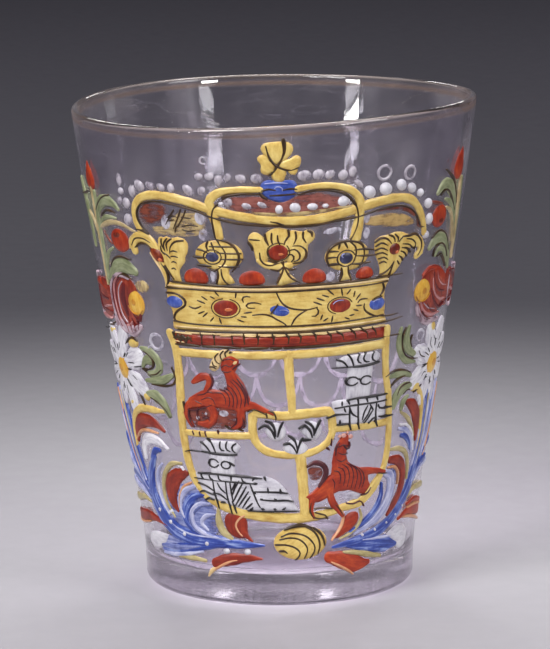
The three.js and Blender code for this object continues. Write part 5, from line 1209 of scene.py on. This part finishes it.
lay_down("carnation_scarlet", [
    dab((58.6, 73, 61.8, 73, 65, 72.3, 68.4, 70.9, 70.4, 69.2, 70.2, 67.8, 66.4, 68.8, 62.6, 70.4,
         59.4, 71.6), top=0.42),
    brushed((53, 72, 56, 73, 60, 72.8), 0.8, 1.3, 0.7, top=0.4),
    brushed((-84, 68.8, -77, 69.2, -70, 68.6), 1.6, 2, 0.8, top=0.4),
], red)
lay_down("carnation_cream", [drop(-46.6, 71.5, 3.4, 1.5, top=0.3)], straw)
egg_yellow = enamel("egg_yellow_enamel", (238, 202, 106), (222, 172, 66), (184, 120, 36))
egg_shade = enamel("egg_shade_enamel", (222, 170, 78), (198, 138, 50), (150, 92, 28))
lay_down("left_eye", [
    drop(-50.5, 67.3, 4.4, 2.9, 0, **jewel),
], egg_yellow, "left_carnation_eye", slot="yellow_enamel")
lay_down("right_eye", [
    drop(53.6, 68.4, 4.5, 2.7, 0, **jewel),
], egg_yellow, "right_carnation_eye", slot="yellow_enamel")
lay_down("eye_hearts", [
    *drops([(-51, 67.5, 1.6, 1), (53.8, 68.4, 1.6, 1)], top=0.68, foot=0.3),
    ring(-50.5, 67.3, 3.9, 2.5, 0.3, 0.64, 200, 330), ring(53.6, 68.4, 3.9, 2.3, 0.3, 0.64, 200, 340),
], egg_shade)


# Daisies
# Eight white petals a side, each one press of the brush from the eye outwards, thinner at their edges and
# lilac there from thin paste and painted edge shade. The yellow eye stands on them, short black strokes part
# the petals, and yellow dots lie round them.
petal_white = enamel("petal_white_enamel", (242, 240, 244), (222, 219, 225), (168, 160, 178), streak=1.6)


def rays(height, start_turn):
    """Turn and direction of eight rays round a flower's eye, a millimetre long, the run across in degrees."""
    per_degree = math.radians(wall_radius(height))
    for turn in np.radians(start_turn + 45.0 * np.arange(8)):
        yield turn, np.array([math.cos(turn) / per_degree, math.sin(turn)])


def petals(angle, height, reach, lean=0.0):
    """Petals as strokes from the eye outwards. The lean lengthens the petals on the right by that share of
    the reach and shortens those on the left."""
    made = []
    for turn, ray in rays(height, 22.5):
        steps = np.outer([0.24, 0.5, 0.76, 0.94], ray * reach * (1 + lean * math.cos(turn)))
        made.append(brushed(np.array([angle, height]) + steps, 2, 4, 5.6, 4.2, top=0.38))
    return made


def short_marks(angle, height):
    """Paths of short strokes that point away from a flower's eye, between its petals."""
    return [np.array([angle, height]) + np.outer([3.6, 5], ray) for turn, ray in rays(height, 0)]


lay_down("left_daisy_petals", petals(-67.6, 51.1, 9.1, lean=0.13), petal_white, "left_daisy",
         slot="white_enamel")
lay_down("right_daisy_petals", petals(67.4, 51.3, 8.9), petal_white, "right_daisy", slot="white_enamel")
daisy_eye = {"top": 0.7, "foot": 0.2, "power": 2.5}
lay_down("left_daisy_middle", [
    drop(-66.2, 50.9, 5.2, 2.8, **daisy_eye),
], egg_yellow, "left_daisy_eye", slot="yellow_enamel")
lay_down("right_daisy_middle", [
    drop(67.2, 51.1, 5.4, 2.8, **daisy_eye),
], egg_yellow, "right_daisy_eye", slot="yellow_enamel")
lay_down("daisy_hearts", drops([
    (-66.8, 50.9, 2, 1.1), (67.6, 51.1, 2.4, 1.1),
], top=0.76, foot=0.4), egg_shade)
lay_down("daisy_marks", lines(
    0.42,
    (-59.8, 55.1, -61.9, 53.9), (-60.7, 52.7, -58.6, 52.9, -56.6, 53), (-57, 52.1, -53, 52.6),
    (-58.8, 50, -56.2, 49.2), (63, 57.1, 63.1, 55.7, 64.9, 54.5), (65.2, 57.3, 66.4, 56.5, 68.2, 56.2),
    (58.8, 50.9, 61, 51, 63.4, 51.4), (59.6, 48.9, 61, 49.6, 62.6, 49.4), (62.6, 48.1, 64.2, 48.2),
    (66.4, 47.2, 68.6, 46.5), (71, 47.6, 72.6, 46.4), (-69, 46.6, -69.6, 45.2), (-65.4, 47, -65, 45.2),
    (-62.4, 47.4, -61.4, 47.2), (-77.4, 50.3, -72.6, 51), (-77.6, 48.2, -73, 49.4), (-70, 55, -71.4, 56.4),
    (-66.4, 55.4, -65.6, 56.8), (-74, 53.6, -77.6, 54.6), (73, 53.6, 78, 54.4), (74, 50.4, 79, 49.8),
    (70.8, 55.6, 72.6, 57), (-84, 58, -77, 58.8, -73, 59.6),
    *short_marks(-68, 51.1),
    *short_marks(67.4, 51.3), top=0.46,
), black)
lay_down("daisy_dots", drops([
    (-56, 57.6, 3.4, 1.1, 12), (-71.6, 59, 2.8, 0.9, 12), (-52.4, 45.8, 1.9, 1.1), (-63, 43.4, 2.2, 0.7, 20),
    (63.6, 59.5, 2.9, 1.3, -30), (56.8, 46.9, 3.2, 1.1, 10),
], top=0.5, power=3), yellow)
lay_down("daisy_dot_lines", lines(
    0.45,
    (-60.6, 57, -58, 58.5, -55.6, 58.9, -53.2, 58.4), (-73.6, 60, -70, 60.4, -66.6, 61.4),
    (-56.4, 46.2, -55, 44.6, -54.2, 43.8), (-66.2, 44.8, -65, 42.6), (64.4, 59.4, 65.8, 58.4),
    (56, 45.6, 58.6, 46.2, 60.6, 46.8),
), ink)


# Red petals at the foot of the sprays
# Comma-shaped strokes, most of them in a deeper red, with a yellow edge and a peach flame pulled along them
# before they were dry. Long red leaves run on round both flanks.
for side, part, petal, paste in [
    ("left", "upper", [
        brushed((-64.8, 34.4, -64, 36.8, -61.4, 38.7, -57, 39.8, -52, 40, -47.6, 39.2, -45.4, 38.4),
                1.2, 3, 3.6, 3.4, 3, 2, 0.8),
    ], deep_red),
    ("left", "lower", [
        brushed((-37, 29.4, -41.4, 28.6, -45, 26.6, -46.4, 24.2, -45.8, 22, -43.8, 20.2),
                1.4, 3.6, 4.6, 4.8, 3.6, 1),
    ], deep_red),
    ("left", "inner", [
        dab((-22.1, 19, -21.4, 20.6, -19, 21.4, -16, 21.6, -13.6, 20.9, -12.6, 19.4, -12.5, 17.6, -12.4, 16,
             -15, 15.5, -18.4, 15.8, -21, 17)),
        brushed((-14, 16.8, -12.4, 15.8, -10.8, 15), 1.8, 1, 0.4),
    ], deep_red),
    ("left", "bottom", [
        brushed((-27.6, 9.3, -24, 10, -18, 10.7, -12, 11.1, -7, 11), 2.2, 3, 2.6, 1.8, 0.4),
    ], deep_red),
    ("right", "upper", [
        brushed((53, 43.7, 57, 42.5, 60.6, 40, 62.4, 37, 62.8, 34.2), 1.6, 3.3, 3.5, 2.7, 1),
    ], deep_red),
    ("right", "lower", [
        brushed((46.8, 31.2, 51, 30.8, 54.8, 29.2, 56.6, 26.4, 55.8, 23.4, 52.8, 20.8, 48.8, 18.4),
                1.6, 2.6, 2.6, 2.6, 2.6, 2.2, 0.8),
    ], deep_red),
    ("right", "inner", [
        dab((21.6, 15.4, 23.6, 16.8, 25.4, 18.8, 27.4, 20.2, 30, 20.8, 32.8, 20.4, 33.4, 18.8, 31, 17.1,
             27, 15.8, 23.6, 15), grain=30),
    ], red),
    ("right", "bottom", [
        brushed((20.4, 10.9, 25, 10.2, 31, 9, 36.4, 8.4, 39.8, 8.5), 2.6, 4, 4.4, 3.6, 1.2),
    ], red),
]:
    lay_down(f"{side}_{part}_petal", petal, paste, f"{side}_petal_{part}", slot="red_enamel")
lay_down("far_red_leaf_left", [
    brushed((-89, 14.6, -76, 15.6, -68, 16.6, -60, 16.7, -51.6, 15.9), 2.6, 3.2, 2.8, 1.8, 0.4),
], deep_red)
lay_down("far_red_leaves", strokes([
    ((57, 16.6, 64, 17.5, 72, 17, 93, 14.6), first_coat, 0.8, 2.2, 2.6, 2),
    ((63.4, 19.2, 70, 19.5, 86, 17.6), first_coat, 0.8, 1.4, 1.4),
]), red)
lay_down("petal_edges", strokes([
    ((-39, 31.5, -44, 31, -48.6, 28.4, -50.6, 25.2, -50.2, 21.8, -46, 18.6), 0.42, 0.8, 1.4, 1.5, 1.4, 1,
     0.5),
    ((-24.4, 21.8, -24.6, 19.2, -23.2, 17, -19.4, 15.2), 0.26, 1, 2, 2.2, 1),
    ((-46, 9.5, -38, 9.7, -32, 9.5), 0.3, 0.8, 1.4, 0.8),
    ((49.4, 41.9, 54, 40.2, 57.6, 38, 60.2, 35.4), 0.42, 0.6, 1.2, 1.2, 0.6),
    ((46, 33.6, 51, 33.4, 56, 32, 59, 29, 59.6, 25.6), 0.42, 0.8, 1.3, 1.4, 1.3, 0.6),
    ((33.4, 21.2, 34.6, 19.2, 33, 17.3, 29, 15.7, 25, 14.9), 0.42, 0.5, 1, 1, 0.7, 0.4),
    ((27, 11.7, 34, 11.1, 40, 10.2, 46.4, 9.3), 0.42, 0.6, 1.4, 1.6, 0.9),
    ((-75.4, 44.6, -72.4, 38.6, -68.6, 32.8, -64, 28), 0.46, 0.4, 0.8, 0.8, 0.4),
    ((68.8, 44, 68.8, 39, 68.2, 34, 66.4, 30), 0.46, 0.4, 0.7, 0.7, 0.4),
    ((61.6, 20.9, 68, 22.2, 76, 22, 91, 20.6), 0.42, 0.6, 1.5, 1.7, 1.2),
    ((-88, 18.9, -76, 19.8, -69, 20.7, -62, 20.4), 0.42, 1.4, 1.8, 1.4, 0.6),
]), enamel("old_yellow_enamel", (206, 192, 146), (180, 164, 116), (138, 122, 80), streak=1.5))
lay_down("petal_flames", lines(
    0.7,
    (-65.4, 34.4, -61, 36.8, -56, 37.6, -49, 37.6), (-35.2, 27.4, -39.4, 26, -41.8, 23.6, -42.4, 21),
    (-13.6, 20.9, -15.8, 20, -17.2, 18.6, -16.2, 17, -14.9, 16.2),
    (-27.6, 7.9, -24, 9.1, -20, 10.1, -17.6, 10.4), (-94, 13.4, -74, 14.4, -66, 15.4),
    (46, 29.5, 50, 29.3, 52.6, 27.6, 53, 25.2), (21.6, 14.8, 24.6, 17, 26, 18.9, 26, 20.5, 25.2, 21.3),
    (21.8, 9.7, 26, 8.5, 30, 7.2, 31.8, 6.4), (-81, 44.4, -77, 38, -72.6, 32.4, -67, 27),
    (79.6, 45, 79.8, 39, 77.4, 33.4, 73.4, 29.4), (60, 16.7, 70, 15.7, 87, 13),
    (64, 18.4, 72, 18.3, 92, 16.2), top=0.48,
), enamel("peach_enamel", (232, 190, 152), (208, 150, 110), (172, 104, 66)))
lay_down("petal_tail", strokes([
    ((-27.6, 8, -29.4, 7.4, -30.8, 6.2), 0.36, 0.9, 1.2, 0.5),
    ((30.6, 7, 31.6, 6.4), 0.36, 0.7, 0.4),
]), cream)
lay_down("petal_edges_yellow", strokes([
    ((-66.8, 33, -66.6, 36.4, -65, 39.4, -61, 41.7, -56, 42.7, -50, 42.9, -44, 43), 0.44, 0.8, 1.8, 2, 2, 1.9,
     1.7, 0.8),
    ((56.4, 47, 60.4, 45.4, 63.6, 42.2, 65.1, 38.4, 65.4, 34.6, 64.4, 31.8), 0.44, 1, 1.7, 1.8, 1.5, 1.1,
     0.5),
]), yellow)


# Blue scrolls
# Each scroll is a bundle of long strokes from a brush loaded with blue on one side and white on the other,
# pulled in below the shield over a lilac ground, with white tips and a row of white dots along its spine.
loaded_blue = enamel("loaded_blue_enamel", (148, 164, 214), (54, 78, 164), (24, 40, 118), streak=2.4,
                     length=0.12)
loaded_pale = enamel("loaded_pale_enamel", (216, 216, 232), (172, 174, 208), (104, 112, 170), streak=1.9,
                     length=0.12)
loaded_lilac = enamel("loaded_lilac_enamel", (168, 172, 208), (106, 116, 172), (64, 76, 142), cover=0.95,
                      streak=1.8, length=0.12)
lay_down("scroll_washes", [
    dab((-50, 27, -44, 26.4, -38, 26.8, -32, 25.6, -26, 22, -24, 18, -28, 15.4, -38, 15.2, -46, 16.8,
         -51, 21), top=0.14, grain=0),
    dab((-60, 10.6, -54, 9, -46, 9.2, -38, 10.4, -34, 12.4, -40, 13.8, -50, 13.8, -57, 13.2), top=0.14,
        grain=0),
    dab((40, 16.6, 46, 18.4, 51, 22, 52, 27, 49, 31, 46.4, 29, 47, 24, 44, 20), top=0.14, grain=60),
    brushed((-57, 11, -49, 11.3, -41, 12, -34, 12.8), 1, 1.9, 1.7, 0.6, top=0.44),
    brushed((-31.4, 22.4, -35.4, 21, -37.6, 18.4, -34, 16.2, -27, 15.4), 0.8, 1.6, 1.8, 1.6, 0.8, top=0.4),
], loaded_lilac)
lay_down("left_scroll_strokes", strokes([
    ((-53.6, 31.8, -56.8, 29.2, -59.4, 25.6, -58.6, 21.4, -53.6, 17.8, -47.6, 15.6, -38, 14.4, -28, 14.4,
      -18, 14.1, -6, 14.1), first_coat, 1.4, 3, 4.4, 4.8, 4.4, 3.6, 3, 2.8, 1.8, 0.5),
    ((-80, 25.4, -72, 25.4, -65, 24.4, -59.4, 21.6), first_coat, 1.4, 3, 3.6, 2.6),
    ((-55.6, 10.5, -48, 11.1, -40, 12, -31, 13, -22, 13.7), first_coat, 1.4, 2.6, 2.6, 1.9, 0.8),
    ((-29.6, 25, -35, 24, -39, 21.4, -40.2, 18.8, -37, 16.6), first_coat, 0.8, 2, 3, 3.2, 2),
]), loaded_blue, "left_scroll", slot="blue_enamel")
lay_down("right_scroll_strokes", strokes([
    ((22, 13.1, 30, 13.7, 38, 14.3, 46, 15.6, 52, 17.4, 58, 20.3, 63, 24, 66, 28.4, 67.6, 34, 67.8, 40,
      67, 44.6), first_coat, 0.6, 1.9, 2.6, 2.9, 3, 3.3, 4.2, 4.2, 3.3, 2.6, 1.2),
    ((61, 22.4, 66, 25.4, 73, 27.4, 81, 28.2), first_coat, 2, 3, 2.8, 1.4),
    ((28.4, 13, 38, 12.5, 46, 12, 51, 11.6, 56.6, 11), first_coat, 0.8, 2.6, 4, 4, 1.2),
]), loaded_blue, "right_scroll", slot="blue_enamel")
lay_down("scroll_side_strokes", strokes([
    ((-90, 44, -77, 38.4, -71.4, 32.4, -66, 26.6, -61.6, 22.6), 0.38, 1, 2, 2.4, 2, 1),
    ((-72.6, 45, -70.6, 39, -67.4, 32.4, -62.4, 26), 0.38, 1.2, 2.2, 2.2, 1.2),
    ((73.6, 46, 73.6, 40, 71.4, 34, 67.6, 28.4), 0.38, 1, 1.9, 2, 1.2),
    ((51.6, 36.3, 54.6, 35.8, 57.8, 34, 59, 32.4), 0.4, 1, 1.6, 1.3, 0.6),
    ((43.4, 26.2, 43.9, 23.2, 41.2, 20.2, 36, 17.9, 29.6, 16.2), 0.38, 0.8, 1.8, 1.9, 1.4, 0.6),
    ((95, 32, 76, 31, 70, 28.8), 0.38, 1, 1.6, 0.8),
    ((-86, 33.4, -76, 30, -69, 26.6), 0.38, 1, 1.8, 1),
    ((-49.6, 33.6, -53, 33.2, -55.6, 31.4), 0.38, 1, 1.8, 1),
]), loaded_blue)
lay_down("scroll_pale_strokes", strokes([
    ((-89, 40, -77, 34.6, -71, 29.6, -65, 25.2), 0.42, 0.8, 1.6, 1.8, 0.9),
    ((-78, 45, -74, 39, -69.6, 32.6, -63.4, 25.4), 0.42, 0.8, 1.7, 1.7, 0.8),
    ((-93, 28.6, -76, 27.2, -69, 25.8, -62, 23.4), 0.42, 0.8, 1.5, 1.3, 0.6),
    ((-87, 23.2, -76, 22.8, -68, 22.4, -62, 21.2), 0.4, 0.8, 1.6, 1.4, 0.6),
    ((-49.6, 30.4, -52.6, 28.6, -54.2, 25.4, -52.8, 21.6, -49.4, 19), 0.42, 0.7, 1.4, 1.4, 1.2, 0.6),
    ((-50, 17.4, -44, 15.9, -36, 15.2, -28, 15.2, -20, 15), 0.42, 0.4, 0.6, 0.6, 0.5, 0.3),
    ((-33.6, 26.6, -38, 25.6, -41.4, 23.6, -42.2, 21.2, -40.6, 19), 0.42, 0.8, 1.8, 2, 1.6, 0.8),
    ((-27.6, 23, -33, 22.4, -36.6, 20.2, -36.2, 17.6, -31, 15.8, -25, 15.2), 0.42, 0.7, 1.5, 1.8, 1.6, 1.2,
     0.6),
    ((-26, 20.6, -30, 20, -32.4, 18.4, -29.6, 16.8), 0.42, 0.6, 1.3, 1.3, 0.6),
    ((-56, 9.4, -48, 9.8, -40, 10.6, -33, 11.6), 0.4, 0.7, 1.4, 1.2, 0.6),
    ((70.6, 44.6, 71, 38.6, 69.6, 33, 66, 28.4), 0.42, 0.8, 1.8, 1.8, 0.9),
    ((77.6, 46, 77, 39, 74.4, 33.4, 70.4, 29.6), 0.42, 0.8, 1.6, 1.6, 0.8),
    ((65.6, 43, 65.4, 38, 65, 33, 62.4, 28.4), 0.42, 0.6, 1.1, 1.1, 0.6),
    ((44, 28.6, 47.8, 27.6, 49.2, 24.6, 47.8, 21.6, 44, 18.9, 38, 17, 31.6, 15.6), 0.4, 1.6, 3, 3.2, 3, 2.4,
     1.4, 0.6),
    ((49.6, 38, 54, 37.3, 58, 35.2, 60.6, 31.6), 0.42, 0.8, 1.4, 1.4, 0.8),
    ((64, 24.6, 70, 26.6, 77, 26.9, 91, 26.4), 0.44, 0.6, 1.1, 1.1, 0.6),
    ((36, 13.9, 44, 13.6, 52, 13.2), 0.44, 0.5, 0.9, 0.5),
]), loaded_pale)
lay_down("scroll_white", strokes([
    ((-60.6, 30.8, -60.6, 33.2, -58.4, 35, -54, 35.8, -49, 35.5, -44.8, 34.4), 0.36, 1.4, 2.4, 2.8, 2.6, 2,
     0.7),
    ((-40.6, 31, -38.6, 30.4, -38, 28.6), 0.3, 0.6, 0.9, 0.5),
    ((50, 38.9, 54.6, 38.3, 58.6, 36.2, 61.4, 32), 0.44, 0.5, 0.9, 0.9, 0.5),
]), petal_white)
lay_down("scroll_white_tips", [
    dab((-69.6, 10.4, -66, 9.4, -61, 9.6, -55.4, 11, -52, 13.6, -56, 13.8, -62, 13.6, -67.6, 12.6), top=0.42,
        grain=0),
    dab((50, 13.6, 54, 15, 58, 15.4, 62.6, 14.7, 66.4, 12.6, 65, 10, 59.6, 9.4, 56, 11), top=0.42, grain=0),
], white)
lay_down("scroll_dots", [
    drop(angle, height, 1.2 - 0.3 * np.sign(angle), 0.66 - 0.14 * np.sign(angle), 10, top=0.6, power=2)
    for angle, height in [
        (-55.5, 19.3), (-49, 17.1), (-41.6, 15), (-30.6, 13.6), (-22, 12.3), (-13, 12.4), (35.6, 15),
        (42, 15.7), (48.4, 16.7), (53.9, 18), (58.4, 19.6), (-48, 19.6),
    ]
], white)
lay_down("loose_rings", [
    ring(-43, 59.2, 2.8, 1.7, 1, 0.3), ring(-45.6, 56.8, 2, 1.2, 0.6, 0.25, 60, 300),
    ring(55.6, 58.4, 2.2, 1.2, 0.8, 0.25),
], milk)


# Net on the far side
# Thin white loops painted round the back of the glass in rows, each row hung from the one above; they show
# faintly through the clear quarters of the shield.
net_top, net_depth, net_angle, net_rows, net_loops = 32, 7, 18, 3, 6
loop_shape = [(-0.5, 0), (-0.4, 0.62), (-0.22, 0.94), (0, 1), (0.22, 0.94), (0.4, 0.62), (0.5, 0)]
net = []
for row in range(net_rows):
    top_line = net_top + row * net_depth
    for loop in range(net_loops):
        middle = 180 + (loop - (net_loops - 1) / 2 + (row % 2) / 2) * net_angle
        path = [(middle + across * net_angle, top_line - down * net_depth) for across, down in loop_shape]
        net.append(brushed(path, 0.8, 1, 1.3, 0.9, top=first_coat, wobble=0.18))
net_white = enamel("net_white_enamel", (214, 209, 217), (188, 181, 192), (148, 140, 156), cover=0.85)
lay_down("far_net", net, net_white, "back_net", slot="white_enamel")


# Table
# A plain pale matt board, wide enough to fill the view from any side, with a painted fall-off of light:
# darker far away from the glass.
table_finish, start = new_finish("pale_board")
where = start.node("TexCoord", out="Object")
distance = start.node("VectorMath", {"operation": "LENGTH"}, {0: where}, out="Value")
speckle = where.noise(160, 4)
# Painted fall-off of light: the board's colour darkens with distance from the glass.
painted_falloff_tone = distance.between(0.03, 0.36).tint(colour(168, 165, 170), colour(46, 44, 52))
fleck = (speckle * 0.08).tint(painted_falloff_tone, colour(110, 108, 114))
start.node("OutputMaterial", None, {"Surface": start.node("BsdfPrincipled", None, {
    "Base Color": fleck, "Roughness": 0.6 + speckle * 0.2, "Specular IOR Level": 0.3,
})})
ring_radius = np.array([0, 0.05, 0.1, 0.2, 0.4, 0.8, 1.6, 3.2, 3.2, 0])[:, None]
ring_height = np.array([0, 0, 0, 0, 0, 0, 0, 0, -0.01, -0.01])[:, None]
turn = np.linspace(0, 2 * np.pi, 96, endpoint=False)[None]
gap_under_foot = 0.00005
board_rings = np.stack(np.broadcast_arrays(
    ring_radius * np.cos(turn), ring_radius * np.sin(turn), ring_height - gap_under_foot), axis=-1)
corners, quads, fans = skin(board_rings)
board = new_object("table_board", corners, quads.tolist() + fans.tolist(), table_finish)


# Lamps
# Soft studio light: a broad lamp at the upper left, a weaker one at the right and one behind, two narrow ones
# for the glints in the foot, three strips a side that the wall mirrors, and a room of even grey.
def lamp(name, spot, aim, across, up, watts):
    """A rectangular lamp at a spot, turned so that its axis runs to the point it is aimed at."""
    light = bpy.data.lights.new(name, "AREA")
    light.shape = "RECTANGLE"
    light.size, light.size_y, light.energy = across, up, watts
    thing = bpy.data.objects.new(name, light)
    bpy.context.scene.collection.objects.link(thing)
    thing.location = spot
    thing.rotation_euler = (Vector(aim) - Vector(spot)).to_track_quat("-Z", "Y").to_euler()


low_on_glass, middle_of_glass = (0, 0, 0.05), (0, 0, 0.08)
lamp("key_lamp", (-0.7, -0.9, 1.1), low_on_glass, 0.6, 0.8, 23)
lamp("fill_lamp", (0.9, -0.6, 0.7), low_on_glass, 0.45, 0.9, 8)
lamp("top_lamp", (0.1, 0.6, 1.4), low_on_glass, 0.9, 0.4, 12)
lamp("back_lamp_left", (-0.285, 1.15, 0.7), low_on_glass, 0.07, 0.3, 1.2)
lamp("back_lamp_right", (0.395, 1.15, 0.7), low_on_glass, 0.07, 0.3, 1.2)
for number, bulb_height in enumerate((0.168, 0.2, 0.232), start=1):
    lamp(f"left_bulb_{number}", (-0.84, -0.7, bulb_height), middle_of_glass, 0.19, 0.016, 0.5)
    lamp(f"right_bulb_{number}", (0.69, -0.84, bulb_height), middle_of_glass, 0.19, 0.016, 0.5)
room = bpy.data.worlds.new("room")
room.use_nodes = True
backdrop = room.node_tree.nodes["Background"].inputs
backdrop["Color"].default_value = colour(150, 148, 156)
backdrop["Strength"].default_value = 0.34
bpy.context.scene.world = room
bpy.context.scene.view_settings.view_transform = "Standard"


# Camera
# The photograph's own view: a long lens from a little above the rim, level to a third of a degree.
view = bpy.data.cameras.new("camera")
view.lens = 215
view.sensor_width = 36
view.clip_start, view.clip_end = 0.05, 20
camera = bpy.data.objects.new("camera", view)
bpy.context.scene.collection.objects.link(camera)
camera.location = (0.00072, -0.8504, 0.2196)
aim = Vector((-0.00002, 0, 0.0572)) - camera.location
turned = aim.to_track_quat("-Z", "Y").to_matrix().to_4x4()
roll = Matrix.Rotation(math.radians(-0.36), 4, "Z")
camera.rotation_euler = (turned @ roll).to_euler()
bpy.context.scene.camera = camera
